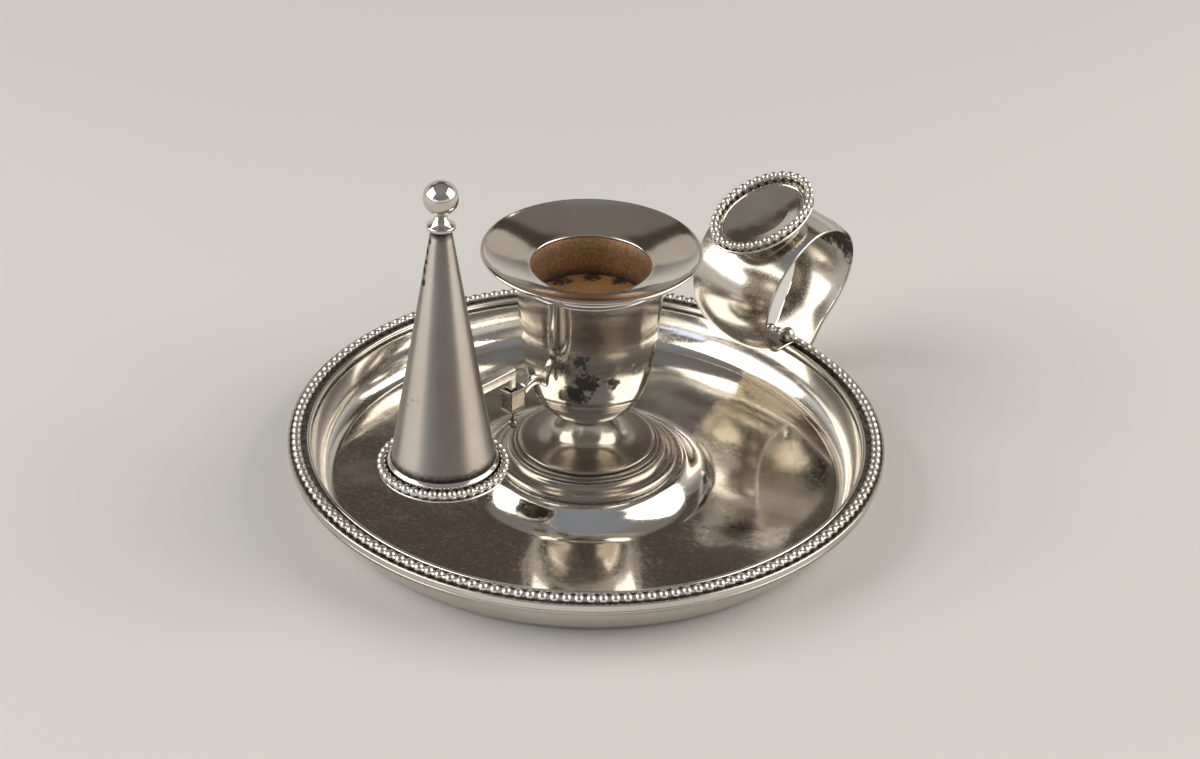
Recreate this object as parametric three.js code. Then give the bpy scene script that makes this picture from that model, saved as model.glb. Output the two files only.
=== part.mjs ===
// A silver chamberstick: a beaded drip pan with a ring handle, a socket with a loose nozzle and a hanging snuffer.
// Millimetres, +Z up. The handle points along +X and the snuffer hangs on the -X side.
import * as THREE from 'three';

// Fits shared by the pieces
const solderGap = 0.3; // between curved pieces that are soldered together
const slipGap = 0.3; // on each side of the tongue in its sleeve
const boltGap = 0.3; // round the bolt in its holes

// Drip pan
const panRadius = 65;
const panSheet = 1.2;
const panDepth = 10.3; // table to the top of the ledge
const wallRun = 5; // how far the wall comes in from the ledge to the floor
const domeRise = 4.3;
const domeMargin = 1; // flat left round the foot moulding
const domeRun = 8; // from the dome's flat top out to the floor
const ledgeInset = 0.5; // the ledge stops short of the rim's outer edge

// Rim moulding and its beads
const lipWidth = 0.6;
const lipHeight = 1.5;
const rimBeadGap = 0.3;
const rimBeadDiameter = 2.2;
const rimBeadPitch = 2.41;
const grooveWidth = 1;
const ridgeWidth = 0.9;
const ridgeHeight = 1.7;
const channelBase = 0.6;

// Foot of the socket
const footRadius = 15;
const footHeight = 7.4;
const neckRadius = 4.9;
const mouldingMargin = 0.8; // step left round the trumpet foot
const mouldingSpread = 4.2;
const mouldingHeight = 3.9;

// Socket
const cupFootRadius = 5.2;
const cupHeight = 34.2;
const cupWall = 1;
const cupBase = 2; // thickness of the bottom that the bolt clamps
const lipRingHeight = 1.3;
const lipRingProud = 0.7;

// Bolt and nut
const studRadius = 1.6;
const studHeadRadius = 3.4;
const studHeadHeight = 1.5;
const studTail = 0.6; // thread left below the nut
const nutWidth = 6.6;
const nutHeight = 2.2;

// Nozzle
const candleBore = 25.6;
const tubeWall = 0.8;
const nozzleDepth = 8.4;
const nozzlePlay = 0.65; // round the tube inside the socket
const nozzleFloorThickness = 0.8;
const nozzleFloorStep = 0.4; // rise of the floor's middle inside the tube
const flangeRadius = 23.3;
const flangeRise = 3.7; // the flange's edge above its bore
const flangeSheet = 0.6; // at the bore
const flangeEdge = 1.2; // at the outer edge
const flangeSeatMargin = 0.2;

// Snuffer's bracket on the socket
const bracketHeight = 13.2; // above the bottom of the socket
const armLength = 6.6;
const armSize = 1.8;
const armArch = 1.6;
const sleeveLength = 4.45;
const sleeveWidth = 3.4;
const sleeveWall = 0.6;
const sleeveBack = 1.9; // thicker wall on the arm's side
const sleeveHeight = 4.7;
const sleeveAboveArm = 2.3; // top of the sleeve above the middle of the arm
const capThickness = 0.8;
const dropRadius = 1.15;
const dropNeckRadius = 0.6;
const dropNeck = 2.2; // from the cap down to the drop's ball

// Snuffer
const barRise = 2.7; // underside of the bar above the sleeve
const barWidth = 2;
const barHeight = 2.5;
const barAboveMouth = 13.2; // underside of the bar above the snuffer's mouth
const snufferReach = 19.625; // tongue to the snuffer's axis
const coneBaseRadius = 10.7;
const coneTopRadius = 2.07;
const coneHeight = 51.8;
const coneWall = 0.8;
const coneTip = 3; // solid metal at the top of the cone
const baseFlange = 0.5;
const baseRingHeight = 3.2;
const baseRingWidth = 0.7; // plain ring outside the cone
const snufferBeadGap = 0.2;
const snufferBeadDiameter = 2;
const snufferBeadPitch = 1.98;
const collarRadius = 2.87;
const collarHeight = 3.55;
const stalkRadius = 1.15;
const ballRadius = 3.53;
const ballHalfHeight = 3.5;

// Handle
const stripSheet = 0.8;
const loopLength = 34.7; // outside, along the pan's radius
const loopHeight = 28.75; // outside, up from the rim's ridge
const loopInset = 17.9; // innermost point of the loop inside the pan's edge
const stripTailWidth = 12;
const stripTopWidth = 24.8;
const stripCrown = 1.6; // bulge across the strip
const tailFlat = 8; // flat length at the strip's outer end
const tailRun = 16; // where the bulge grows after it
const footFlat = 3.7; // flat length at the strip's inner end
const footRun = 5; // where the bulge dies out before it
const tailShare = 0.49; // of the pan's depth, where the outer end meets the pan's wall
const rivetRadius = 1.8;
const rivetHeight = 3;
const rivetSpacing = 14.6;
const rivetInset = 1; // from the strip's inner end

// Thumb plate
const plateLength = 27.7;
const plateWidth = 20.25;
const plateSheet = 0.8;
const plateDish = 1.2;
const plateTilt = THREE.MathUtils.degToRad(17.4);
const plateShift = 0.2; // out along the plate from where it rests on the loop
const thumbBeadInset = 0.8;
const thumbBeadDiameter = 1.9;
const thumbBeadPitch = 1.97;

// Facets round the larger and the smaller turned pieces
const panFacets = 60;
const cupFacets = 40;
const finialFacets = 24;

// Heights that follow from the sizes above
const domeTop = panSheet + domeRise;
const mouldingTop = domeTop + mouldingHeight;
const cupBottom = mouldingTop + footHeight;
const cupTop = cupBottom + cupHeight;
const seatHeight = cupTop + lipRingHeight;
const beadSeat = panDepth + channelBase;
const rimTop = beadSeat + rimBeadDiameter;

// Radii that follow from the sizes above
const boltHole = studRadius + boltGap;
const rimWidth = lipWidth + rimBeadGap + rimBeadDiameter + grooveWidth + ridgeWidth;
const ledgeInner = panRadius - rimWidth;
const floorEdge = ledgeInner - wallRun;
const mouldingTopRadius = footRadius + mouldingMargin;
const mouldingRadius = mouldingTopRadius + mouldingSpread;
const domeFlat = mouldingRadius + domeMargin;
const rimBeadCircle = panRadius - lipWidth - rimBeadGap - rimBeadDiameter / 2;
const boreRadius = candleBore / 2;
const tubeRadius = boreRadius + tubeWall;

// The socket's outline as shares of its height and of its widening from foot to mouth
const cupShape = [
  [0, 0],
  [0.03, 0.21],
  [0.083, 0.43],
  [0.178, 0.63],
  [0.338, 0.785],
  [0.57, 0.88],
  [0.83, 0.947],
  [1, 1],
];

// The trumpet foot's outline as shares of its height and of its widening from neck to foot
const footShape = [
  [0, 1],
  [0.068, 1],
  [0.108, 0.96],
  [0.138, 0.743],
  [0.178, 0.525],
  [0.243, 0.356],
  [0.338, 0.228],
  [0.48, 0.134],
  [0.662, 0.064],
  [0.851, 0.015],
  [1, 0],
];

// The dome's outline as shares of its run and of its fall from the flat top to the floor
const domeShape = [
  [0.08, 0.032],
  [0.16, 0.13],
  [0.28, 0.37],
  [0.42, 0.612],
  [0.58, 0.805],
  [0.78, 0.948],
  [1, 1],
];

// The handle's outside as shares of the loop's length and height and of the widening from the tail to the top,
// from under the rim, up and over, to the foot on the rim
const loopShape = [
  [0.493, -0.304, 0],
  [0.582, -0.322, 0],
  [0.669, -0.294, 0],
  [0.732, -0.215, 0],
  [0.818, -0.054, 0.04],
  [0.918, 0.097, 0.14],
  [0.986, 0.272, 0.26],
  [1, 0.462, 0.4],
  [0.955, 0.645, 0.55],
  [0.862, 0.803, 0.69],
  [0.734, 0.92, 0.81],
  [0.584, 0.988, 0.91],
  [0.427, 0.998, 0.97],
  [0.274, 0.948, 1],
  [0.141, 0.84, 0.98],
  [0.046, 0.685, 0.92],
  [0.002, 0.501, 0.83],
  [0.015, 0.309, 0.71],
  [0.084, 0.135, 0.58],
  [0.204, 0.009, 0.46],
];

// The stepped moulding's outline as shares of its height and of its spread
const stepShape = [
  [0, 0.976],
  [0.18, 1],
  [0.3, 0.9],
  [0.38, 0.66],
  [0.46, 0.41],
  [0.6, 0.265],
  [0.76, 0.2],
  [0.87, 0.19],
  [0.89, 0.03],
  [1, 0],
];

function shareAt(shape, height) {
  let k = 1;
  while (k < shape.length - 1 && shape[k][0] < height) {
    k += 1;
  }
  const [lowHeight, lowShare] = shape[k - 1];
  const [highHeight, highShare] = shape[k];
  return lowShare + ((highShare - lowShare) * (height - lowHeight)) / (highHeight - lowHeight);
}

// The socket is as wide as the nozzle's tube needs at the tube's lower end
const tubeBottom = seatHeight - nozzleDepth - nozzleFloorThickness;
const shareAtTube = shareAt(cupShape, (tubeBottom - cupBottom) / cupHeight);
const cupWidening = (tubeRadius + nozzlePlay + cupWall - cupFootRadius) / shareAtTube;
const cupLipRadius = cupFootRadius + cupWidening;

function cupRadiusAt(z) {
  return cupFootRadius + cupWidening * shareAt(cupShape, (z - cupBottom) / cupHeight);
}

const silver = { color: 0xd9d3c8, roughness: 0.18, metalness: 1 };
const satinSilver = { color: 0xc9c3ba, roughness: 0.38, metalness: 1 };
const brownedSilver = { color: 0x8b6c4c, roughness: 0.6, metalness: 0.8 };
const steel = { color: 0x9a9a9c, roughness: 0.45, metalness: 1 };

const model = new THREE.Group();

function piece(name, geometry, look, parent = model) {
  const mesh = new THREE.Mesh(geometry, new THREE.MeshStandardMaterial(look));
  mesh.name = name;
  parent.add(mesh);
  return mesh;
}

// A turned piece about Z from a profile of [radius, height] points that runs up the outside
function turned(profile, facets) {
  const points = profile.map(([r, z]) => new THREE.Vector2(r, z));
  return new THREE.LatheGeometry(points, facets).rotateX(Math.PI / 2);
}

// A turned ring, whose profile closes on itself
function turnedRing(profile, facets) {
  return turned([...profile, profile[0]], facets);
}

function box(x0, x1, y0, y1, z0, z1) {
  const geometry = new THREE.BoxGeometry(x1 - x0, y1 - y0, z1 - z0);
  return geometry.translate((x0 + x1) / 2, (y0 + y1) / 2, (z0 + z1) / 2);
}

// A closed skin over cross-sections that all have the same number of points
function skin(sections, joined) {
  const size = sections[0].length;
  const positions = sections.flat().flatMap((p) => [p.x, p.y, p.z]);
  const faces = [];
  const spans = joined ? sections.length : sections.length - 1;
  for (let i = 0; i < spans; i += 1) {
    const a = i * size;
    const b = ((i + 1) % sections.length) * size;
    for (let k = 0; k < size; k += 1) {
      const n = (k + 1) % size;
      faces.push([a + k, a + n, b + n], [a + k, b + n, b + k]);
    }
  }
  if (!joined) {
    const last = (sections.length - 1) * size;
    for (let k = 1; k < size - 1; k += 1) {
      faces.push([0, k + 1, k], [last, last + k, last + k + 1]);
    }
  }
  const at = (i) => new THREE.Vector3().fromArray(positions, i * 3);
  const volume = faces.reduce((sum, [a, b, c]) => sum + at(a).dot(at(b).cross(at(c))), 0);
  const index = faces.flatMap(([a, b, c]) => (volume > 0 ? [a, b, c] : [a, c, b]));
  const geometry = new THREE.BufferGeometry();
  geometry.setAttribute('position', new THREE.Float32BufferAttribute(positions, 3));
  geometry.setIndex(index);
  geometry.computeVertexNormals();
  return geometry;
}

// A bead's size along the row, from its middle to the middle of the next one
const beadSwell = [1, 0.86, 0.45, 0.86];

// A row of beads on a flat seat: place(share) gives the row's middle and its outward direction
function beading(count, diameter, seat, place) {
  const outline = [
    [-0.6, 0],
    [0.6, 0],
    [1, 0.5],
    [0, 1],
    [-1, 0.5],
  ];
  const sections = [];
  const steps = count * beadSwell.length;
  for (let i = 0; i < steps; i += 1) {
    const [middle, outward] = place(i / steps);
    const size = diameter * beadSwell[i % beadSwell.length];
    sections.push(
      outline.map(([across, up]) => {
        const p = middle.clone().addScaledVector(outward, (across * size) / 2);
        p.z = seat + up * size;
        return p;
      }),
    );
  }
  return skin(sections, true);
}

function onOval(halfX, halfY, centreX) {
  return (share) => {
    const turn = share * Math.PI * 2;
    const c = Math.cos(turn);
    const s = Math.sin(turn);
    const middle = new THREE.Vector3(centreX + halfX * c, halfY * s, 0);
    const outward = new THREE.Vector3(halfY * c, halfX * s, 0).normalize();
    return [middle, outward];
  };
}

// Drip pan: dome, floor, wall and ledge on top, and the same sheet below
const panProfile = [];
const wallDepth = panDepth - panSheet;
const wallSteps = 4;
panProfile.push([boltHole, domeRise]);
panProfile.push([domeFlat, domeRise]);
for (const [along, fallen] of domeShape) {
  panProfile.push([domeFlat + domeRun * along, domeRise * (1 - fallen)]);
}
const wallEnd = Math.acos(panSheet / (wallDepth + panSheet));
for (let k = 0; k <= wallSteps; k += 1) {
  const turn = (wallEnd * k) / wallSteps;
  const r = floorEdge + (wallRun + panSheet) * Math.sin(turn);
  panProfile.push([r, panDepth - (wallDepth + panSheet) * Math.cos(turn)]);
}
panProfile.push([panRadius - ledgeInset, panDepth - panSheet]);
panProfile.push([panRadius - ledgeInset, panDepth]);
for (let k = wallSteps; k >= 0; k -= 1) {
  const turn = (Math.PI / 2) * (k / wallSteps);
  panProfile.push([floorEdge + wallRun * Math.sin(turn), panDepth - wallDepth * Math.cos(turn)]);
}
for (const [along, fallen] of [...domeShape].reverse()) {
  panProfile.push([domeFlat + domeRun * along, panSheet + domeRise * (1 - fallen)]);
}
panProfile.push([domeFlat, domeTop]);
panProfile.push([boltHole, domeTop]);
piece('drip_pan', turnedRing(panProfile, panFacets), silver);

// Rim moulding: lip, channel for the beads and ridge
const lipRound = lipWidth / 2;
piece(
  'rim_moulding',
  turnedRing(
    [
      [ledgeInner, panDepth],
      [panRadius, panDepth],
      [panRadius, panDepth + lipHeight - lipRound],
      [panRadius - lipRound, panDepth + lipHeight],
      [panRadius - lipWidth, panDepth + lipHeight],
      [panRadius - lipWidth, beadSeat],
      [ledgeInner + ridgeWidth, beadSeat],
      [ledgeInner + ridgeWidth * 0.75, panDepth + ridgeHeight],
      [ledgeInner + ridgeWidth * 0.25, panDepth + ridgeHeight],
      [ledgeInner, panDepth + ridgeHeight * 0.75],
    ],
    panFacets,
  ),
  silver,
);

const rimBeadCount = Math.round((2 * Math.PI * rimBeadCircle) / rimBeadPitch);
piece(
  'rim_beading',
  beading(rimBeadCount, rimBeadDiameter, beadSeat, onOval(rimBeadCircle, rimBeadCircle, 0)),
  silver,
);

// Stepped moulding under the trumpet foot
piece(
  'foot_moulding',
  turnedRing(
    [
      [boltHole, domeTop],
      ...stepShape.map(([h, s]) => [mouldingTopRadius + mouldingSpread * s, domeTop + mouldingHeight * h]),
      [boltHole, mouldingTop],
    ],
    cupFacets,
  ),
  silver,
);

piece(
  'socket_foot',
  turnedRing(
    [
      [boltHole, mouldingTop],
      ...footShape.map(([h, s]) => [neckRadius + (footRadius - neckRadius) * s, mouldingTop + footHeight * h]),
      [boltHole, cupBottom],
    ],
    cupFacets,
  ),
  silver,
);

// Socket: an even wall that follows the outline, and a thick bottom for the bolt
const cupProfile = [[boltHole, cupBottom]];
for (const [h, s] of cupShape) {
  cupProfile.push([cupFootRadius + cupWidening * s, cupBottom + cupHeight * h]);
}
const innerBottom = cupBottom + cupBase;
for (let k = cupShape.length - 1; k > 0; k -= 1) {
  const [h, s] = cupShape[k];
  const [below, belowShare] = cupShape[k - 1];
  const slope = (cupWidening * (s - belowShare)) / (cupHeight * (h - below));
  const wall = cupWall * Math.hypot(1, slope);
  const z = cupBottom + cupHeight * h;
  if (z > innerBottom) {
    cupProfile.push([cupFootRadius + cupWidening * s - wall, z]);
  }
  const zBelow = cupBottom + cupHeight * below;
  if (z > innerBottom && zBelow <= innerBottom) {
    cupProfile.push([cupRadiusAt(innerBottom) - wall, innerBottom]);
  }
}
cupProfile.push([boltHole, innerBottom]);
piece('candle_cup', turnedRing(cupProfile, cupFacets), silver);

const lipRingRadius = cupLipRadius + lipRingProud;
const lipRingInner = tubeRadius + nozzlePlay;
piece(
  'cup_lip_ring',
  turnedRing(
    [
      [lipRingInner, cupTop],
      [cupLipRadius, cupTop],
      [lipRingRadius, cupTop + lipRingHeight * 0.3],
      [lipRingRadius, cupTop + lipRingHeight * 0.8],
      [lipRingRadius - lipRingProud * 0.3, seatHeight],
      [lipRingInner, seatHeight],
    ],
    cupFacets,
  ),
  silver,
);

// Bolt from inside the socket through the dome, and its nut below
const nutTop = domeRise;
const nutBottom = nutTop - nutHeight;
piece(
  'socket_stud',
  turned(
    [
      [0, nutBottom - studTail],
      [studRadius, nutBottom - studTail],
      [studRadius, innerBottom],
      [studHeadRadius, innerBottom],
      [studHeadRadius, innerBottom + studHeadHeight * 0.7],
      [studHeadRadius * 0.8, innerBottom + studHeadHeight],
      [0, innerBottom + studHeadHeight],
    ],
    finialFacets,
  ),
  steel,
);

const nutOutline = new THREE.Shape();
const nutCorner = nutWidth / Math.sqrt(3);
for (let k = 0; k < 6; k += 1) {
  const turn = (Math.PI / 3) * k;
  if (k === 0) {
    nutOutline.moveTo(nutCorner * Math.cos(turn), nutCorner * Math.sin(turn));
  } else {
    nutOutline.lineTo(nutCorner * Math.cos(turn), nutCorner * Math.sin(turn));
  }
}
nutOutline.closePath();
const nutHole = new THREE.Path();
nutHole.absarc(0, 0, boltHole, 0, Math.PI * 2, true);
nutOutline.holes.push(nutHole);
const nutBody = new THREE.ExtrudeGeometry(nutOutline, { depth: nutHeight, bevelEnabled: false, curveSegments: 12 });
piece('socket_nut', nutBody.translate(0, 0, nutBottom), steel);

// Snuffer's bracket: arched arm, sleeve, cap and drop, on the -X side of the socket
const armMiddle = cupBottom + bracketHeight;
const armStart = cupRadiusAt(armMiddle + armSize / 2) + solderGap;
const sleeveInner = armStart + armLength;
const sleeveOuter = sleeveInner + sleeveLength;
const sleeveTop = armMiddle + sleeveAboveArm;
const sleeveBottom = sleeveTop - sleeveHeight;
const sleeveMiddle = (sleeveInner + sleeveOuter) / 2;

const armOutline = new THREE.Shape();
const archMiddle = -(armStart + sleeveInner) / 2;
armOutline.moveTo(-armStart, armMiddle - armSize / 2);
armOutline.lineTo(-armStart, armMiddle + armSize / 2);
armOutline.quadraticCurveTo(archMiddle, armMiddle + armSize / 2 + armArch * 2, -sleeveInner, armMiddle + armSize / 2);
armOutline.lineTo(-sleeveInner, armMiddle - armSize / 2);
armOutline.quadraticCurveTo(archMiddle, armMiddle - armSize / 2 + armArch * 2, -armStart, armMiddle - armSize / 2);
const armBody = new THREE.ExtrudeGeometry(armOutline, { depth: armSize, bevelEnabled: false, curveSegments: 6 });
armBody.rotateX(Math.PI / 2).translate(0, armSize / 2, 0);
piece('bracket_arm', armBody, silver);

const pocketLength = sleeveLength - sleeveWall - sleeveBack;
const pocketWidth = sleeveWidth - sleeveWall * 2;
const pocketMiddle = sleeveOuter - sleeveWall - pocketLength / 2;
const sleeveOutline = new THREE.Shape();
sleeveOutline.moveTo(-sleeveOuter, -sleeveWidth / 2);
sleeveOutline.lineTo(-sleeveInner, -sleeveWidth / 2);
sleeveOutline.lineTo(-sleeveInner, sleeveWidth / 2);
sleeveOutline.lineTo(-sleeveOuter, sleeveWidth / 2);
sleeveOutline.closePath();
const pocket = new THREE.Path();
pocket.moveTo(-pocketMiddle - pocketLength / 2, -pocketWidth / 2);
pocket.lineTo(-pocketMiddle - pocketLength / 2, pocketWidth / 2);
pocket.lineTo(-pocketMiddle + pocketLength / 2, pocketWidth / 2);
pocket.lineTo(-pocketMiddle + pocketLength / 2, -pocketWidth / 2);
pocket.closePath();
sleeveOutline.holes.push(pocket);
const sleeveBody = new THREE.ExtrudeGeometry(sleeveOutline, { depth: sleeveHeight, bevelEnabled: false });
piece('bracket_sleeve', sleeveBody.translate(0, 0, sleeveBottom), silver);

const capBottom = sleeveBottom - capThickness;
piece(
  'bracket_cap',
  box(-sleeveOuter, -sleeveInner, -sleeveWidth / 2, sleeveWidth / 2, capBottom, sleeveBottom),
  silver,
);

const dropProfile = [];
const dropSteps = 6;
const dropNeckTurn = Math.acos(dropNeckRadius / dropRadius);
const dropMiddle = capBottom - dropNeck - dropRadius * Math.sin(dropNeckTurn);
for (let k = 0; k <= dropSteps; k += 1) {
  const turn = -Math.PI / 2 + ((dropNeckTurn + Math.PI / 2) * k) / dropSteps;
  dropProfile.push([k === 0 ? 0 : dropRadius * Math.cos(turn), dropMiddle + dropRadius * Math.sin(turn)]);
}
dropProfile.push([dropNeckRadius, capBottom]);
dropProfile.push([0, capBottom]);
const drop = piece('bracket_drop', turned(dropProfile, 12), silver);
drop.position.x = -sleeveMiddle;

// Nozzle: dished flange, tube and floor
const flangeTop = seatHeight + flangeSheet + flangeRise;
const flangeSeat = lipRingRadius + flangeSeatMargin;
piece(
  'nozzle_flange',
  turnedRing(
    [
      [boreRadius, seatHeight],
      [flangeSeat, seatHeight],
      [flangeRadius - flangeEdge * 0.4, flangeTop - flangeEdge],
      [flangeRadius, flangeTop - flangeEdge * 0.6],
      [flangeRadius, flangeTop - flangeEdge * 0.25],
      [flangeRadius - flangeEdge * 0.35, flangeTop],
      [flangeRadius - flangeEdge, flangeTop - flangeEdge * 0.25],
      [boreRadius, seatHeight + flangeSheet],
    ],
    cupFacets,
  ),
  satinSilver,
);

const floorTop = seatHeight - nozzleDepth;
const tubeSeat = floorTop - nozzleFloorStep;
piece(
  'nozzle_tube',
  turnedRing(
    [
      [boreRadius, tubeSeat],
      [tubeRadius, tubeSeat],
      [tubeRadius, seatHeight],
      [boreRadius, seatHeight],
    ],
    cupFacets,
  ),
  brownedSilver,
);

piece(
  'nozzle_floor',
  turned(
    [
      [0, floorTop - nozzleFloorThickness],
      [tubeRadius, floorTop - nozzleFloorThickness],
      [tubeRadius, tubeSeat],
      [boreRadius - solderGap, tubeSeat],
      [boreRadius - solderGap, floorTop],
      [0, floorTop],
    ],
    cupFacets,
  ),
  brownedSilver,
);

// Snuffer, hanging by its tongue on the sleeve's cap
const snuffer = new THREE.Group();
const snufferAxis = pocketMiddle + snufferReach;
const barBottom = sleeveTop + barRise;
const mouth = barBottom - barAboveMouth;
const coneBottom = mouth + baseRingHeight;
const coneTop = coneBottom + coneHeight;
snuffer.position.x = -snufferAxis;
model.add(snuffer);

function coneRadiusAt(z) {
  return coneBaseRadius + ((coneTopRadius - coneBaseRadius) * (z - coneBottom)) / coneHeight;
}

const coneInnerTop = coneTop - coneTip;
piece(
  'snuffer_cone',
  turned(
    [
      [0, coneInnerTop],
      [coneRadiusAt(coneInnerTop) - coneWall, coneInnerTop],
      [coneBaseRadius - coneWall, coneBottom],
      [coneBaseRadius, coneBottom],
      [coneTopRadius, coneTop],
      [0, coneTop],
    ],
    cupFacets,
  ),
  satinSilver,
  snuffer,
);

const plainRing = coneBaseRadius + baseRingWidth;
const snufferBeadCircle = plainRing + snufferBeadGap + snufferBeadDiameter / 2;
const baseEdge = snufferBeadCircle + snufferBeadDiameter * 0.3;
piece(
  'snuffer_base_ring',
  turnedRing(
    [
      [coneBaseRadius - coneWall, mouth],
      [baseEdge, mouth],
      [baseEdge, mouth + baseFlange],
      [plainRing, mouth + baseFlange],
      [plainRing, mouth + baseRingHeight * 0.75],
      [plainRing - baseRingWidth * 0.3, mouth + baseRingHeight * 0.93],
      [coneBaseRadius, coneBottom],
      [coneBaseRadius - coneWall, coneBottom],
    ],
    cupFacets,
  ),
  silver,
  snuffer,
);

const snufferBeadCount = Math.round((2 * Math.PI * snufferBeadCircle) / snufferBeadPitch);
piece(
  'snuffer_beading',
  beading(snufferBeadCount, snufferBeadDiameter, mouth + baseFlange, onOval(snufferBeadCircle, snufferBeadCircle, 0)),
  silver,
  snuffer,
);

const stalkTop = coneTop + collarHeight;
piece(
  'snuffer_collar',
  turned(
    [
      [0, coneTop],
      [coneTopRadius, coneTop],
      [collarRadius * 0.92, coneTop + collarHeight * 0.07],
      [collarRadius, coneTop + collarHeight * 0.15],
      [collarRadius, coneTop + collarHeight * 0.27],
      [collarRadius * 0.85, coneTop + collarHeight * 0.38],
      [collarRadius * 0.55, coneTop + collarHeight * 0.58],
      [stalkRadius, coneTop + collarHeight * 0.82],
      [stalkRadius, stalkTop],
      [0, stalkTop],
    ],
    finialFacets,
  ),
  silver,
  snuffer,
);

const ballFlat = Math.asin(stalkRadius / ballRadius);
const ballMiddle = stalkTop + ballHalfHeight * Math.cos(ballFlat);
const ballProfile = [[0, stalkTop]];
const ballSteps = 8;
for (let k = 0; k <= ballSteps; k += 1) {
  const turn = ballFlat + ((Math.PI - ballFlat) * k) / ballSteps;
  const r = k === ballSteps ? 0 : ballRadius * Math.sin(turn);
  ballProfile.push([r, ballMiddle - ballHalfHeight * Math.cos(turn)]);
}
piece('snuffer_ball', turned(ballProfile, finialFacets), silver, snuffer);

const tongueLength = pocketLength - slipGap * 2;
const tongueWidth = pocketWidth - slipGap * 2;
const barEnd = snufferAxis - coneRadiusAt(barBottom) - solderGap;
piece(
  'snuffer_bar',
  box(-barEnd, -(pocketMiddle - tongueLength / 2), -barWidth / 2, barWidth / 2, barBottom, barBottom + barHeight),
  silver,
);
piece(
  'snuffer_tongue',
  box(
    -(pocketMiddle + tongueLength / 2),
    -(pocketMiddle - tongueLength / 2),
    -tongueWidth / 2,
    tongueWidth / 2,
    sleeveBottom,
    barBottom,
  ),
  silver,
);

// Handle: one strip that starts at the pan's wall under the rim, loops up and over, and ends on the rim's ridge
const stripSeat = panDepth + ridgeHeight + solderGap;
const stripEnd = ledgeInner + ridgeWidth + solderGap;
const flatStart = stripEnd - footFlat;
const loopStart = panRadius - loopInset;
const tailHeight = panDepth * tailShare;

function wallOutsideAt(z) {
  const turn = Math.acos(1 - z / panDepth);
  return floorEdge + (wallRun + panSheet) * Math.sin(turn);
}

// The route runs along the strip's outer side, and each point's Y is half the strip's width there
const tailEnd = wallOutsideAt(tailHeight + stripSheet) + solderGap;
const stripRoute = [new THREE.Vector3(tailEnd, stripTailWidth / 2, tailHeight)];
for (const [along, up, widening] of loopShape) {
  const width = stripTailWidth + (stripTopWidth - stripTailWidth) * widening;
  stripRoute.push(new THREE.Vector3(loopStart + loopLength * along, width / 2, stripSeat + loopHeight * up));
}
const footHalf = stripRoute[stripRoute.length - 1].y;
stripRoute.push(new THREE.Vector3(flatStart, footHalf, stripSeat));
const stripCurve = new THREE.CatmullRomCurve3(stripRoute, false, 'centripetal');
const stripSteps = 52;
const stripPath = stripCurve.getSpacedPoints(stripSteps);
const stripStep = stripCurve.getLength() / stripSteps;
stripPath.push(new THREE.Vector3((flatStart + stripEnd) / 2, footHalf, stripSeat));
stripPath.push(new THREE.Vector3(stripEnd, footHalf, stripSeat));

function stripNormal(k) {
  if (k >= stripSteps) {
    return new THREE.Vector3(0, 0, -1);
  }
  const before = stripPath[Math.max(k - 1, 0)];
  const after = stripPath[k + 1];
  return new THREE.Vector3(after.z - before.z, 0, before.x - after.x).normalize();
}

function crownAt(k) {
  const afterTail = THREE.MathUtils.smoothstep(k * stripStep, tailFlat, tailFlat + tailRun);
  const beforeFoot = THREE.MathUtils.smoothstep((stripSteps - k) * stripStep, 0, footRun);
  return stripCrown * afterTail * beforeFoot;
}

const stripSections = stripPath.map((p, k) => {
  const normal = stripNormal(k);
  const crown = crownAt(k);
  const section = [];
  for (const [lift, steps] of [
    [0, [-1, -0.5, 0, 0.5, 1]],
    [-stripSheet, [1, 0.5, 0, -0.5, -1]],
  ]) {
    for (const across of steps) {
      const bulge = crown * (1 - across * across) + lift;
      section.push(new THREE.Vector3(p.x + normal.x * bulge, across * p.y, p.z + normal.z * bulge));
    }
  }
  return section;
});
piece('handle_loop', skin(stripSections, false), silver);

const rivetX = stripEnd - rivetInset;
const rivetSeat = stripSeat + stripSheet;
const rivetProfile = [
  [0, 0],
  [rivetRadius, 0],
  [rivetRadius * 0.92, rivetHeight * 0.45],
  [rivetRadius * 0.6, rivetHeight * 0.85],
  [0, rivetHeight],
];
for (const [name, side] of [
  ['handle_rivet_near', -1],
  ['handle_rivet_far', 1],
]) {
  const rivet = piece(name, turned(rivetProfile, 12), silver);
  rivet.position.set(rivetX, (side * rivetSpacing) / 2, rivetSeat);
}

// Thumb plate: tilted up at its outer end, and resting on the crown of the loop
const plateUp = new THREE.Vector3(-Math.sin(plateTilt), 0, Math.cos(plateTilt));
const plateOut = new THREE.Vector3(Math.cos(plateTilt), 0, Math.sin(plateTilt));
const crest = stripPath.map((p, k) => new THREE.Vector3(p.x, 0, p.z).addScaledVector(stripNormal(k), crownAt(k)));
const rest = crest.reduce((best, p) => (p.dot(plateUp) > best.dot(plateUp) ? p : best));
const thumb = new THREE.Group();
thumb.rotation.y = -plateTilt;
thumb.position
  .copy(rest)
  .addScaledVector(plateUp, solderGap + plateDish + plateSheet)
  .addScaledVector(plateOut, plateShift);
model.add(thumb);

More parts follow.
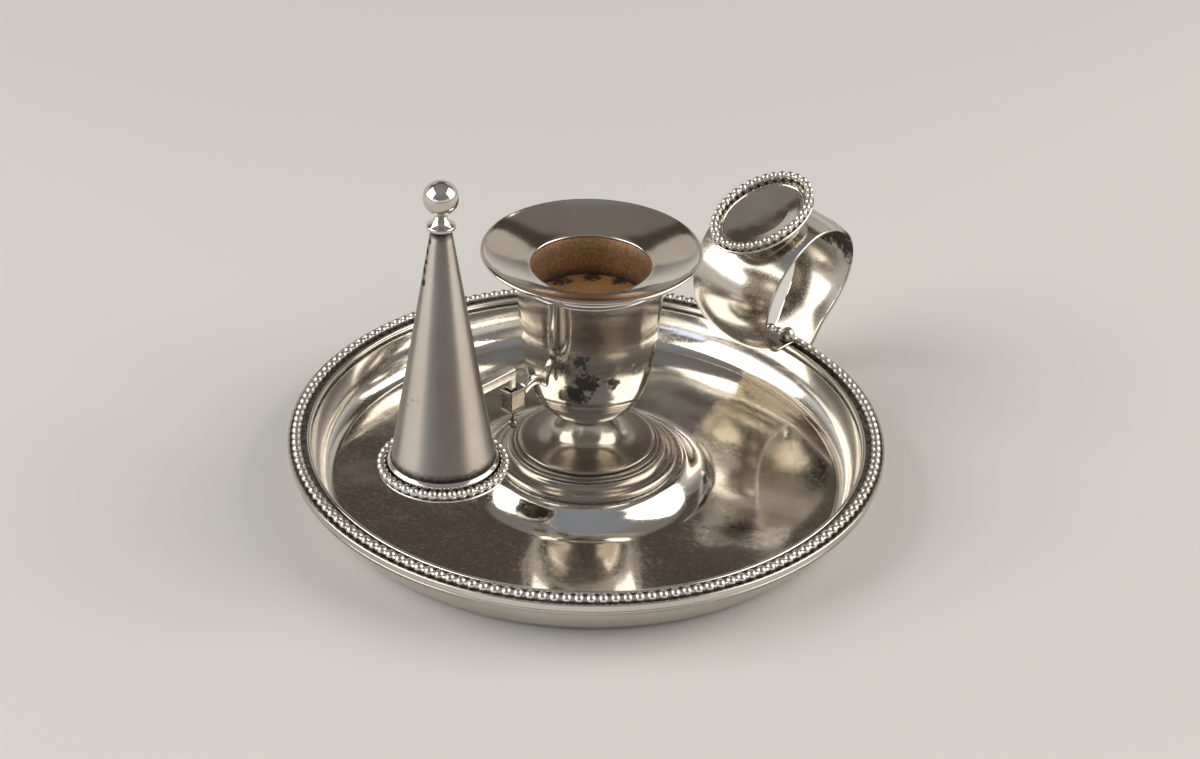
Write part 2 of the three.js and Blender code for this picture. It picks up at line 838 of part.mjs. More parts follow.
const plateHalfX = plateLength / 2;
const plateHalfY = plateWidth / 2;
const border = 1 - (thumbBeadInset + thumbBeadDiameter / 2 + solderGap) / plateHalfY;
const plateProfile = [
  [0, -plateDish - plateSheet],
  [plateHalfY * border * 0.6, -plateDish * 0.72 - plateSheet],
  [plateHalfY * border, -plateSheet],
  [plateHalfY, -plateSheet],
  [plateHalfY, 0],
  [plateHalfY * border, 0],
  [plateHalfY * border * 0.6, -plateDish * 0.72],
  [0, -plateDish],
];
piece('thumb_plate', turned(plateProfile, cupFacets).scale(plateHalfX / plateHalfY, 1, 1), silver, thumb);

const thumbRowX = plateHalfX - thumbBeadInset;
const thumbRowY = plateHalfY - thumbBeadInset;
const thumbRowRoot = Math.sqrt((3 * thumbRowX + thumbRowY) * (thumbRowX + 3 * thumbRowY));
const thumbRowLength = Math.PI * (3 * (thumbRowX + thumbRowY) - thumbRowRoot);
const thumbBeadCount = Math.round(thumbRowLength / thumbBeadPitch);
piece(
  'thumb_beading',
  beading(thumbBeadCount, thumbBeadDiameter, solderGap, onOval(thumbRowX, thumbRowY, 0)),
  silver,
  thumb,
);

// The frame's origin is under the middle of the whole object, on the table
const bounds = new THREE.Box3().setFromObject(model, true);
model.position.x = -(bounds.min.x + bounds.max.x) / 2;
model.updateMatrixWorld(true);

export default model;
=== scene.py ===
import math

import bmesh
import bpy
from mathutils import Matrix, Vector, noise


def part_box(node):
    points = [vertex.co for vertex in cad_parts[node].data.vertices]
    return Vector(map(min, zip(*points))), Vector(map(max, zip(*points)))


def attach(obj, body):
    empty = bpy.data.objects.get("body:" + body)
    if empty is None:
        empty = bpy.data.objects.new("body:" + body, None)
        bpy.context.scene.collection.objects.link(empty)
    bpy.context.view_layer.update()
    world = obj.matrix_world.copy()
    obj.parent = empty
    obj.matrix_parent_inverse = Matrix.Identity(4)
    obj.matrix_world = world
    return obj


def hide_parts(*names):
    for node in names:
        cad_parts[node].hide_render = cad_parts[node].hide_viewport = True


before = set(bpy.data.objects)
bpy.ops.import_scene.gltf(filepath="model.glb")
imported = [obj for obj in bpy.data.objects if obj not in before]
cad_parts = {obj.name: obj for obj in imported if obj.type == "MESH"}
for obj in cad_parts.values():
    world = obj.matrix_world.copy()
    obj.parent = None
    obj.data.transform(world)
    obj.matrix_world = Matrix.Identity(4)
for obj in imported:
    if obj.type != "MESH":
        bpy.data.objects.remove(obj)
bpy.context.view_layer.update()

MM = 0.001


def middle_x(node):
    """The middle of a node's box along X, in metres."""
    low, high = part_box(node)
    return (low.x + high.x) / 2


PAN_X = middle_x("drip_pan")
SNUFFER_X = middle_x("snuffer_cone")
PAN_MID = PAN_X / MM
SNUFFER_MID = SNUFFER_X / MM
AXES = {"base": PAN_X, "nozzle": PAN_X, "snuffer": SNUFFER_X}
UP = Vector((0, 0, 1))

# Camera, from the photograph: the handle stands 48 degrees behind the right-hand side
HANDLE_TURN = math.radians(48)
CAMERA_RISE = math.radians(31.025)
CAMERA_ROLL = math.radians(1.676)
CAMERA_DISTANCE = 532.7
CAMERA_TARGET = (2.57, 0.0, 24.59)
CAMERA_LENS = 74.06
CAMERA_SENSOR = 36.0

# Smoothness of the turned pieces, in steps round
ROUND_LARGE = 224
ROUND_MEDIUM = 144
ROUND_SMALL = 64
ROUND_TINY = 32

# Pan and rim
PAN_RADIUS = 65.0
PAN_SHEET = 1.2
PAN_DEPTH = 10.3
LEDGE_INNER = 60.0
LEDGE_OUTER = 64.5
FLOOR_EDGE = 55.0
DOME_FLAT = 21.0
DOME_FOOT = 29.0
DOME_RISE = 4.3
BOLT_HOLE = 1.9
RIM_SEAM = 61.5
RIDGE_TOP = 12.0
LIP_INNER = 64.4
LIP_TOP = 11.8
RIM_BEAD_SEAT = 10.9
RIM_BEAD_CIRCLE = 63.0
RIM_BEAD_RADIUS = 1.1
RIM_BEADS = 164

# Foot and socket
DOME_TOP = 5.5
MOULDING_TOP = 9.4
CUP_BOTTOM = 16.8
CUP_INNER_BOTTOM = 18.8
CUP_HEIGHT = 34.2
CUP_FOOT = 5.2
CUP_WIDENING = 10.792
CUP_WALL = 1.0
CUP_INNER_EDGE = 0.3
CUP_TOP = 51.0
SEAT = 52.3
LIP_RING_INNER = 14.25
LIP_RING_OUTER = 16.69
LIP_RING_SEAM = 15.0

# Bolt and nut
STUD = 1.6
STUD_ROOT = 1.42
STUD_END = 1.5
STUD_HEAD = 3.4
THREAD_START = 1.75
THREAD_PITCH = 0.4
THREADS = 9
NUT_BOTTOM = 2.1
NUT_TOP = 4.3
NUT_HALF = 3.3
NUT_FACE = 3.25
NUT_CORNER = 3.9
NUT_CHAMFER = 0.35
NUT_STEPS = 72

# Bracket
SLEEVE_HALF_X = 2.225
SLEEVE_HALF_Y = 1.7
SLEEVE_LOW = 27.6
SLEEVE_HIGH = 32.3
SLEEVE_CORNER = 0.3
POCKET_HALF_X = 0.975
POCKET_HALF_Y = 1.1
POCKET_CORNER = 0.12
POCKET_MIDDLE = (-0.65, 0.0)
ARM_Z = 30.0
ARM_HALF = 0.9
ARM_ARCH = 1.6
ARM_CORNER = 0.32
ARM_SWELL = 0.22
ARM_SUNK = 0.05
ARM_STEPS = 32
CAP_LOW = 26.8
DROP_RADIUS = 1.15
DROP_NECK = 0.6
DROP_BALL_TOP = 24.6
DROP_STEPS = 14

# Nozzle
BORE = 12.8
TUBE = 13.6
TUBE_SEAT = 43.5
NOZZLE_FLOOR = 43.9
NOZZLE_BOTTOM = 43.1
FLOOR_RADIUS = 12.5
FLANGE_RADIUS = 23.3
FLANGE_TOP = 56.6
BORE_EASE = 0.1

# Snuffer, from its own axis
MOUTH = 21.8
BASE_SEAM = 11.0
CONE_BOTTOM = 25.0
CONE_TOP = 76.8
CONE_BASE = 10.7
CONE_TIP = 2.07
CONE_WALL = 0.8
CONE_INNER_TOP = CONE_TOP - 3.0
CONE_INNER_TIP = 1.77
CONE_STEPS = 20
COLLAR_FOOT = 1.95
STALK_TOP = 80.35
STALK = 1.15
BALL_RADIUS = 3.53
BALL_HALF = 3.5
BALL_STEPS = 40
SNUFFER_BEAD_CIRCLE = 12.6
SNUFFER_BEAD_RADIUS = 1.0
SNUFFER_BEAD_SEAT = 0.5
SNUFFER_BEADS = 40
BAR_SUNK = 0.25
BAR_EDGE = 0.4
TONGUE_EDGE = 0.15

# Handle strip, rivets and thumb plate
STRIP_SHEET = 0.8
STRIP_SEAT = 12.3
STRIP_END = 61.2
STRIP_CROWN = 1.6
STRIP_TAIL = 12.0
STRIP_TOP = 24.8
STRIP_EDGE = 0.36
STRIP_END_CUT = 0.3
STRIP_END_THIN = 0.6
TAIL_END = (60.88, 5.05)
TAIL_FLAT = 8.0
TAIL_RUN = 16.0
FOOT_FLAT = 3.7
FOOT_RUN = 5.0
LOOP_START = 47.1
LOOP_LENGTH = 34.68
LOOP_HEIGHT = 28.75
RIVET_X = 60.2
RIVET_Y = 7.3
RIVET_Z = 13.1
PLATE_TILT = math.radians(17.4)
PLATE_HALF_X = 13.85
PLATE_HALF_Y = 10.125
PLATE_SHEET = 0.8
PLATE_DISH = 1.2
PLATE_BORDER = PLATE_HALF_Y - 1.75
PLATE_EDGE = 0.35
THUMB_BEADS = 36
THUMB_BEAD_INSET = 0.8
THUMB_BEAD_SEAT = 0.25
THUMB_BEAD_RADIUS = 0.95
OVAL_STEPS = 1440

# The handle's outside as shares of its length and height and of the widening from the tail to the top
LOOP_SHAPE = [
    (0.493, -0.304, 0.0), (0.582, -0.322, 0.0), (0.669, -0.294, 0.0), (0.732, -0.215, 0.0),
    (0.818, -0.054, 0.04), (0.918, 0.097, 0.14), (0.986, 0.272, 0.26), (1.0, 0.462, 0.4),
    (0.955, 0.645, 0.55), (0.862, 0.803, 0.69), (0.734, 0.92, 0.81), (0.584, 0.988, 0.91),
    (0.427, 0.998, 0.97), (0.274, 0.948, 1.0), (0.141, 0.84, 0.98), (0.046, 0.685, 0.92),
    (0.002, 0.501, 0.83), (0.015, 0.309, 0.71), (0.084, 0.135, 0.58), (0.204, 0.009, 0.46)]

# The socket's outside as shares of its height and of its widening
CUP_SHAPE = [(0.0, 0.0), (0.03, 0.21), (0.083, 0.43), (0.178, 0.63), (0.338, 0.785), (0.57, 0.88),
             (0.83, 0.947), (1.0, 1.0)]


# Curves and outlines

def smooth(low, high, value):
    """Zero at low and before it, one at high and past it, and an even rise between; low may be the larger."""
    share = min(max((value - low) / (high - low), 0.0), 1.0)
    return share * share * (3 - 2 * share)


def steps_to(start, end, count):
    """Even steps that begin one step after start and reach end."""
    return [start + (end - start) * k / count for k in range(1, count + 1)]


def blend(a, b, start, end, t):
    """The point between two points that are passed at start and end."""
    return a * ((end - t) / (end - start)) + b * ((t - start) / (end - start))


def flow(points, steps):
    """A smooth curve through the points, with that many steps between each two."""
    points = [Vector(p) for p in points]
    first = points[0] * 2 - points[1]
    last = points[-1] * 2 - points[-2]
    padded = [first] + points + [last]
    curve = []
    for k in range(1, len(padded) - 2):
        a, b, c, d = padded[k - 1:k + 3]
        t1 = math.sqrt((b - a).length)
        t2 = t1 + math.sqrt((c - b).length)
        t3 = t2 + math.sqrt((d - c).length)
        for i in range(steps):
            t = t1 + (t2 - t1) * i / steps
            ab = blend(a, b, 0, t1, t)
            bc = blend(b, c, t1, t2, t)
            cd = blend(c, d, t2, t3, t)
            curve.append(blend(blend(ab, bc, 0, t2, t), blend(bc, cd, t1, t3, t), t1, t2, t))
    curve.append(points[-1])
    return [tuple(p) for p in curve]


EASE_STEPS = 6
EASE_LIMIT = 0.48


def eased(corners):
    """An outline of (radius, height, rounding) corners, each rounded as far as its neighbours allow."""
    outline = []
    count = len(corners)
    for k, corner in enumerate(corners):
        here = Vector(corner[:2])
        size = corner[2] if len(corner) > 2 else 0.0
        if size <= 0 or k in (0, count - 1):
            outline.append(tuple(here))
            continue
        back = Vector(corners[k - 1][:2]) - here
        ahead = Vector(corners[k + 1][:2]) - here
        angle = back.angle(ahead)
        reach = min(size / math.tan(angle / 2), back.length * EASE_LIMIT, ahead.length * EASE_LIMIT)
        start = here + back.normalized() * reach
        end = here + ahead.normalized() * reach
        radius = reach * math.tan(angle / 2)
        inward = (back.normalized() + ahead.normalized()).normalized()
        centre = here + inward * (radius / math.sin(angle / 2))
        turn = (start - centre).angle_signed(end - centre)
        for i in range(EASE_STEPS + 1):
            step = Matrix.Rotation(-turn * i / EASE_STEPS, 2)
            outline.append(tuple(centre + step @ (start - centre)))
    return outline


# Meshes, each as its points, its faces and how much soiling and painted shade lies at each point

ON_AXIS = 1e-6


def circle(radius, height, steps):
    """Points evenly round a circle at one height."""
    turns = [2 * math.pi * k / steps for k in range(steps)]
    return [(radius * math.cos(t), radius * math.sin(t), height) for t in turns]


def dirt_and_shade_at(radius, height, dirt_and_shade):
    """How much soiling and painted shade lies at a point of an outline, from (radius, height, reach, amount)
    spots.
    """
    most = 0.0
    for r, z, reach, amount in dirt_and_shade:
        away = math.hypot(radius - r, height - z) / reach
        most = max(most, amount * math.exp(-away * away))
    return most


def turned(outline, dirt_and_shade, steps=ROUND_MEDIUM):
    """An outline turned about the axis; a ring's outline ends where it starts."""
    ring = outline[0] == outline[-1]
    if ring:
        outline = outline[:-1]
    points = []
    dirt_and_shade_amount = []
    rows = []
    for radius, height in outline:
        amount = dirt_and_shade_at(radius, height, dirt_and_shade)
        if radius < ON_AXIS:
            rows.append([len(points)] * steps)
            points.append((0.0, 0.0, height))
            dirt_and_shade_amount.append(amount)
            continue
        rows.append(list(range(len(points), len(points) + steps)))
        points += circle(radius, height, steps)
        dirt_and_shade_amount += [amount] * steps
    faces = []
    spans = len(rows) if ring else len(rows) - 1
    for i in range(spans):
        low = rows[i]
        high = rows[(i + 1) % len(rows)]
        for k in range(steps):
            n = (k + 1) % steps
            corners = []
            for corner in (low[k], low[n], high[n], high[k]):
                if corner not in corners:
                    corners.append(corner)
            if len(corners) > 2:
                faces.append(corners)
    return points, faces, dirt_and_shade_amount


def skin(loops, joined=False):
    """A closed skin over loops with equally many points, joined end to end or capped."""
    size = len(loops[0])
    points = [p for loop in loops for p in loop]
    faces = []
    spans = len(loops) if joined else len(loops) - 1
    for i in range(spans):
        a = i * size
        b = ((i + 1) % len(loops)) * size
        for k in range(size):
            n = (k + 1) % size
            faces.append([a + k, a + n, b + n, b + k])
    if not joined:
        last = (len(loops) - 1) * size
        faces.append(list(range(size))[::-1])
        faces.append(list(range(last, last + size)))
    return points, faces, [0.0] * len(points)


# A bead's steps from pole to pole and round, the painted shade and soiling on its lower half, and the wire
# that joins the beads
BEAD_RINGS = 9
BEAD_ROUND = 14
BEAD_DIRT_AND_SHADE = 0.8
BEAD_DIRT_AND_SHADE_FROM = -0.35
BEAD_DIRT_AND_SHADE_FULL = -0.9
WIRE_SHARE = 0.62
WIRE_SINK = 0.25
WIRE_ROUND = 8
WIRE_DIRT_AND_SHADE = 0.45


def bead_row(middles, radius):
    """Round beads that stand upright, on a wire through their middles."""
    middles = [Vector(p) for p in middles]
    side = UP.orthogonal().normalized()
    across = UP.cross(side)
    points = []
    faces = []
    dirt_and_shade_amount = []
    # Each bead is darker on its lower half and the wire between the beads is darker: painted shade under and
    # between the beads, with some soiling
    for middle in middles:
        start = len(points)
        points.append(middle - UP * radius)
        dirt_and_shade_amount.append(1.0)
        for i in range(1, BEAD_RINGS):
            lift = -math.cos(math.pi * i / BEAD_RINGS)
            wide = math.sin(math.pi * i / BEAD_RINGS)
            for c, s, _ in circle(1.0, lift, BEAD_ROUND):
                points.append(middle + (UP * lift + (side * c + across * s) * wide) * radius)
                dirt_and_shade_amount.append(BEAD_DIRT_AND_SHADE * smooth(BEAD_DIRT_AND_SHADE_FROM, BEAD_DIRT_AND_SHADE_FULL, lift))
        points.append(middle + UP * radius)
        dirt_and_shade_amount.append(0.0)
        top = len(points) - 1
        for k in range(BEAD_ROUND):
            n = (k + 1) % BEAD_ROUND
            faces.append([start, start + 1 + n, start + 1 + k])
            faces.append([top, top - BEAD_ROUND + k, top - BEAD_ROUND + n])
            for i in range(BEAD_RINGS - 2):
                low = start + 1 + i * BEAD_ROUND
                high = low + BEAD_ROUND
                faces.append([low + k, low + n, high + n, high + k])
    wire = []
    for i, middle in enumerate(middles):
        ahead = middles[(i + 1) % len(middles)]
        out = (ahead - middles[i - 1]).normalized().cross(UP).normalized()
        half_way = (middle + ahead) / 2
        wire.append([half_way + (out * c + UP * (s - WIRE_SINK)) * (WIRE_SHARE * radius)
                     for c, s, _ in circle(1.0, 0.0, WIRE_ROUND)])
    wire_points, wire_faces, _ = skin(wire, True)
    faces += [[len(points) + corner for corner in face] for face in wire_faces]
    points += wire_points
    dirt_and_shade_amount += [WIRE_DIRT_AND_SHADE] * len(wire_points)
    return points, faces, dirt_and_shade_amount


CORNER_STEPS = 5
CORNER_LIMIT = 0.98


def rounded_loop(half_x, half_y, corner, height, middle=(0.0, 0.0)):
    """A rounded rectangle at one height."""
    loop = []
    corner = min(corner, half_x * CORNER_LIMIT, half_y * CORNER_LIMIT)
    for k, (sx, sy) in enumerate([(1, 1), (-1, 1), (-1, -1), (1, -1)]):
        for i in range(CORNER_STEPS + 1):
            angle = math.pi / 2 * (k + i / CORNER_STEPS)
            x = sx * (half_x - corner) + corner * math.cos(angle)
            y = sy * (half_y - corner) + corner * math.sin(angle)
            loop.append((middle[0] + x, middle[1] + y, height))
    return loop


BLOCK_CUT = 0.3


def eased_block(half_x, half_y, low, high, edge):
    """A block along the height with softened edges."""
    cut = edge * BLOCK_CUT
    loops = []
    for inset, height in [(edge, low), (cut, low + cut), (0.0, low + edge),
                          (0.0, high - edge), (cut, high - cut), (edge, high)]:
        loops.append(rounded_loop(half_x - inset, half_y - inset, edge, height))
    return skin(loops)


def make(name, form, finish, node, body="base", at=None):
    """A smooth piece from points in millimetres, riding on its body in place of its CAD node."""
    points, faces, dirt_and_shade_amount = form
    mesh = bpy.data.meshes.new(name)
    mesh.from_pydata([Vector(p) * MM for p in points], [], faces)
    mesh.transform(at or Matrix.Translation((AXES[body], 0, 0)))
    shape = bmesh.new()
    shape.from_mesh(mesh)
    bmesh.ops.recalc_face_normals(shape, faces=shape.faces)
    shape.to_mesh(mesh)
    shape.free()
    mesh.polygons.foreach_set("use_smooth", [True] * len(mesh.polygons))
    # Each point's share of soiling and painted shade, read by the materials
    layer = mesh.attributes.new("dirt_and_shade_amount", "FLOAT", "POINT")
    layer.data.foreach_set("value", dirt_and_shade_amount)
    mesh.materials.append(finish)
    piece = bpy.data.objects.new(name, mesh)
    bpy.context.scene.collection.objects.link(piece)
    even = piece.modifiers.new("even_shading", "WEIGHTED_NORMAL")
    even.keep_sharp = True
    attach(piece, body)
    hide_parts(node)


# Materials

SILVER_CLEAN = "#dcd8d1"
SILVER_YELLOWED = "#b5a894"
SILVER_SATIN = "#aca59d"
# Dark of the pits and tarnish blotches, and of the painted dark reflections
TARNISH_AND_REFLECTION_DARK = "#2c2724"
# Colour of the soiling and painted shade in corners, hollows and under the beads
DIRT_AND_SHADE_COLOUR = "#2b241c"
BURNT = "#4d3b2c"
# How wear shows: sizes in millimetres, shares of the metal, and what each layer adds to the roughness
SCRATCH_TURNS = (0.4, 1.5, 2.5)
SCRATCH_SHARE = 0.25
SCRATCH_DULLING = 0.12
FILM_DULLING = 0.16
PIT_SIZE = 0.36
PIT_DEPTH = 0.012
PIT_DARKNESS = 0.9
PIT_DULLING = 0.4
DIRT_AND_SHADE_DULLING = 0.4
DIRT_AND_SHADE_METAL = 0.3
# Further from the axis than this, the nozzle was never burnt
UNBURNT = 13.2
# A quarter turn, so that reflections are drawn out across the lathe's rings
LATHE_TURN = 0.25


def to_linear(code):
    """A colour written as sRGB hex, in linear light."""
    parts = [int(code[k:k + 2], 16) / 255 for k in (1, 3, 5)]
    light = [c / 12.92 if c <= 0.04045 else ((c + 0.055) / 1.055) ** 2.4 for c in parts]
    return light + [1.0]


def add(tree, kind, settings=None, feeds=None):
    """Adds a node with its settings and what feeds it: an output, or the first output of a node."""
    made = tree.nodes.new("ShaderNode" + kind)
    for key, value in (settings or {}).items():
        if isinstance(key, str) and hasattr(made, key):
            setattr(made, key, value)
        else:
            made.inputs[key].default_value = value
    for key, source in (feeds or {}).items():
        tree.links.new(getattr(source, "outputs", [source])[0], made.inputs[key])
    return made


def nearness(tree, in_mm, axis, places):
    """One in the middle of any (x from the axis, y, z, reach) place, falling to zero at its reach."""
    most = None
    for x, y, z, reach in places:
        away = add(tree, "VectorMath", {"operation": "DISTANCE", 1: (axis + x, y, z)}, {0: in_mm})
        near = add(tree, "MapRange", {"interpolation_type": "SMOOTHSTEP", "From Min": reach, "From Max": 0.0},
                   {"Value": away.outputs["Value"]})
        if most is not None:
            near = add(tree, "Math", {"operation": "MAXIMUM"}, {0: most, 1: near})
        most = near
    return most


def out_from(tree, in_mm, axis):
    """The level vector from an upright axis to the point."""
    centred = add(tree, "VectorMath", {"operation": "SUBTRACT", 1: (axis, 0.0, 0.0)}, {0: in_mm})
    return add(tree, "VectorMath", {"operation": "MULTIPLY", 1: (1.0, 1.0, 0.0)}, {0: centred})


def unevenness(tree, where, scale, detail, start, full, low=0.0, high=1.0, roughness=0.5):
    """An uneven cover: low where a noise of that scale is at start, and high where it is at full."""
    waves = add(tree, "TexNoise", {"Scale": scale, "Detail": detail, "Roughness": roughness},
                {"Vector": where})
    return add(tree, "MapRange", {"From Min": start, "From Max": full, "To Min": low, "To Max": high},
               {"Value": waves})


def polish_scratches(tree, in_mm):
    """Polishing scratches about 14 mm long, drawn 0.3 mm wide so that they show."""
    scratches = None
    for turn in SCRATCH_TURNS:
        drawn_out = add(tree, "Mapping", {"vector_type": "TEXTURE", "Rotation": (0.3, 0.2, turn),
                                          "Scale": (14, 0.3, 0.3)}, {"Vector": in_mm})
        lines = unevenness(tree, drawn_out, 1.0, 1.0, 0.62, 0.74)
        if scratches is not None:
            lines = add(tree, "Math", {"operation": "MAXIMUM"}, {0: scratches, 1: lines})
        scratches = lines
    return scratches


def dark_pits(tree, in_mm, pitting, stain_and_reflection_share):
    """Pits 0.2 to 0.6 mm across, thick in clusters of about 8 mm and in the given patches, which on the
    handle also paint a dark reflection.
    """
    thick = unevenness(tree, in_mm, 0.12, 3.0, 0.52, 0.78, high=pitting, roughness=0.6)
    if stain_and_reflection_share is not None:
        broken = unevenness(tree, in_mm, 0.55, 4.0, 0.35, 0.75, high=1.3, roughness=0.7)
        spots = add(tree, "Math", {"operation": "MULTIPLY"}, {0: stain_and_reflection_share, 1: broken})
        thick = add(tree, "Math", {"operation": "ADD"}, {0: thick, 1: spots})
    cells = add(tree, "TexVoronoi", {"Scale": 0.85, "Randomness": 1.0}, {"Vector": in_mm})
    size = add(tree, "Math", {"operation": "MULTIPLY", 1: PIT_SIZE}, {0: thick})
    inside = add(tree, "Math", {"operation": "SUBTRACT"}, {0: size, 1: cells})
    return add(tree, "MapRange", {"From Min": -0.02, "From Max": 0.1}, {"Value": inside})


def black_blots_and_dark_reflections(tree, in_mm, blot_and_reflection_share):
    """Black tarnish and, on the socket and the handle, a painted dark reflection in the given places, with
    edges torn at 2 mm and finer.
    """
    torn = unevenness(tree, in_mm, 0.5, 6.0, 0.0, 1.0, -1.5, 1.3, 0.75)
    reach = add(tree, "Math", {"operation": "ADD"}, {0: blot_and_reflection_share, 1: torn})
    return add(tree, "MapRange", {"From Min": 0.34, "From Max": 0.62}, {"Value": reach})


def corner_dirt_and_shade(tree, in_mm):
    """Soiling and painted shade in the corners, broken up at about 1 mm."""
    corners = add(tree, "Attribute", {"attribute_name": "dirt_and_shade_amount"}).outputs["Fac"]
    crumbs = unevenness(tree, in_mm, 0.9, 3.0, 0.0, 1.0, -0.3, 0.3)
    amount = add(tree, "Math", {"operation": "ADD"}, {0: corners, 1: crumbs})
    return add(tree, "MapRange", {"From Min": 0.35, "From Max": 0.85}, {"Value": amount})


def working_marks(tree, in_mm, axis, kind, spacing):
    """Marks of the last working, that many millimetres apart: rings round the axis or strokes along it."""
    level = out_from(tree, in_mm, axis)
    heading = add(tree, "VectorMath", {"operation": "NORMALIZE"}, {0: level})
    if kind == "rings":
        turns = 1.5
        reach = add(tree, "VectorMath", {"operation": "LENGTH"}, {0: level})
        steps = add(tree, "Math", {"operation": "DIVIDE", 1: spacing}, {0: reach.outputs["Value"]})
        lifted = add(tree, "CombineXYZ", {}, {"Z": steps})
    else:
        turns = 7.0 / spacing
        lifted = add(tree, "VectorMath", {"operation": "MULTIPLY", 1: (0.0, 0.0, 0.03)}, {0: in_mm})
    round_it = add(tree, "VectorMath", {"operation": "SCALE", "Scale": turns}, {0: heading})
    course = add(tree, "VectorMath", {"operation": "ADD"}, {0: round_it, 1: lifted})
    return add(tree, "TexNoise", {"Scale": 1.0, "Detail": 3.0}, {"Vector": course})


def silver(name, clean=SILVER_CLEAN, yellowed=SILVER_YELLOWED, roughness=0.06, film=0.35, wear=1.0,
           pitting=0.5, stains_and_dark_reflections=(), blots_and_dark_reflections=(), mottle=0.0, grain=None, wave=0.03, bare=1.0, lathe=0.0,
           unburnt=None, axis=PAN_MID):
    """Worn silver: a bright metal under a thin yellow film, with fine polishing scratches, dark pits and
    soiling with painted shade in the corners. Stains of pits and ragged black blotches are (x from the
    axis, y, z, reach); on the socket and the handle they are partly painted dark reflections. Mottle is how
    far burnt flecks cover it, and further from the axis than unburnt it is satin silver. The lathe's rings
    draw reflections out. Grain is (kind, spacing, depth, dulling). Bare is how metallic it is where no
    soiling or painted shade lies."""
    made = bpy.data.materials.new(name)
    made.use_nodes = True
    tree = made.node_tree
    shader = tree.nodes["Principled BSDF"]
    if lathe > 0:
        shader.inputs["Anisotropic"].default_value = lathe
        shader.inputs["Anisotropic Rotation"].default_value = LATHE_TURN
        rings = add(tree, "Tangent", {"direction_type": "RADIAL", "axis": "Z"})
        tree.links.new(rings.outputs[0], shader.inputs["Tangent"])
    place = add(tree, "TexCoord").outputs["Object"]
    in_mm = add(tree, "Mapping", {"Scale": (1000, 1000, 1000)}, {"Vector": place})
    scratches = polish_scratches(tree, in_mm)
    pits = dark_pits(tree, in_mm, pitting, nearness(tree, in_mm, axis, stains_and_dark_reflections))
    dirt_and_shade = corner_dirt_and_shade(tree, in_mm)

    # Colour: clean silver, with the yellow film in patches about 20 mm across, broken up at 2 mm
    film_share = unevenness(tree, in_mm, 0.05, 5.0, 0.38, 0.72, high=film, roughness=0.62)
    tint = add(tree, "Mix", {"data_type": "RGBA", 6: to_linear(clean), 7: to_linear(yellowed)},
               {0: film_share}).outputs[2]
    # Less metallic under the soiling and painted shade
    metal = add(tree, "MapRange", {"To Min": bare, "To Max": DIRT_AND_SHADE_METAL * bare}, {"Value": dirt_and_shade})
    layers = []
    if mottle > 0:
        # Burnt flecks about 0.6 mm across
        layers.append((BURNT, unevenness(tree, in_mm, 1.6, 3.0, 0.44, 0.6, high=mottle, roughness=0.7)))
    if unburnt is not None:
        reach = add(tree, "VectorMath", {"operation": "LENGTH"}, {0: out_from(tree, in_mm, axis)})
        satin_share = add(tree, "MapRange", {"From Min": unburnt - 0.1, "From Max": unburnt + 0.1},
                          {"Value": reach.outputs["Value"]})
        layers.append((SILVER_SATIN, satin_share))
        metal = add(tree, "Math", {"operation": "MAXIMUM"}, {0: metal, 1: satin_share})
    # Blotches: black tarnish, and on the socket and the handle painted dark reflections
    blot_and_reflection_share = nearness(tree, in_mm, axis, blots_and_dark_reflections)
    if blot_and_reflection_share is not None:
        black = black_blots_and_dark_reflections(tree, in_mm, blot_and_reflection_share)
        # From here the pits also carry the blotches and the painted dark reflections
        pits = add(tree, "Math", {"operation": "MAXIMUM"}, {0: pits, 1: black})
    dark_share = add(tree, "Math", {"operation": "MULTIPLY", 1: PIT_DARKNESS}, {0: pits})
    # Pits, tarnish and painted dark reflections take the dark tarnish colour; corners and hollows take the
    # colour of soiling and painted shade
    layers += [(TARNISH_AND_REFLECTION_DARK, dark_share), (DIRT_AND_SHADE_COLOUR, dirt_and_shade)]
    for colour, share in layers:
        tint = add(tree, "Mix", {"data_type": "RGBA", 7: to_linear(colour)}, {0: share, 6: tint}).outputs[2]
    tree.links.new(tint, shader.inputs["Base Color"])
    tree.links.new(metal.outputs[0], shader.inputs["Metallic"])

    # Roughness: polish and scratches, then the film, the pits, and the soiling with painted shade
    rough = add(tree, "MapRange", {"To Min": roughness, "To Max": roughness + SCRATCH_DULLING * wear},
                {"Value": scratches})
    for share, dulling in [(film_share, FILM_DULLING), (pits, PIT_DULLING), (dirt_and_shade, DIRT_AND_SHADE_DULLING)]:
        rough = add(tree, "Math", {"operation": "MULTIPLY_ADD", 1: dulling}, {0: share, 2: rough})

    # Relief: waves of the hammered sheet, about 12 mm long, scratches and pits, and marks of the last working
    waves = add(tree, "TexNoise", {"Scale": 0.08, "Detail": 1.5}, {"Vector": in_mm})
    bent = add(tree, "Bump", {"Strength": 1.0, "Distance": wave * MM}, {"Height": waves})
    sunk = add(tree, "Math", {"operation": "MULTIPLY_ADD", 1: SCRATCH_SHARE * wear}, {0: scratches, 2: pits})
    normal = add(tree, "Bump", {"Strength": 1.0, "Distance": PIT_DEPTH * MM, "invert": True},
                 {"Height": sunk, "Normal": bent})
    if grain is not None:
        kind, spacing, depth, dulling = grain
        marks = working_marks(tree, in_mm, axis, kind, spacing)
        normal = add(tree, "Bump", {"Strength": 1.0, "Distance": depth * MM},
                     {"Height": marks, "Normal": normal})
        rough = add(tree, "Math", {"operation": "MULTIPLY_ADD", 1: dulling}, {0: marks, 2: rough})
    tree.links.new(rough.outputs[0], shader.inputs["Roughness"])
    tree.links.new(normal.outputs[0], shader.inputs["Normal"])
    return made


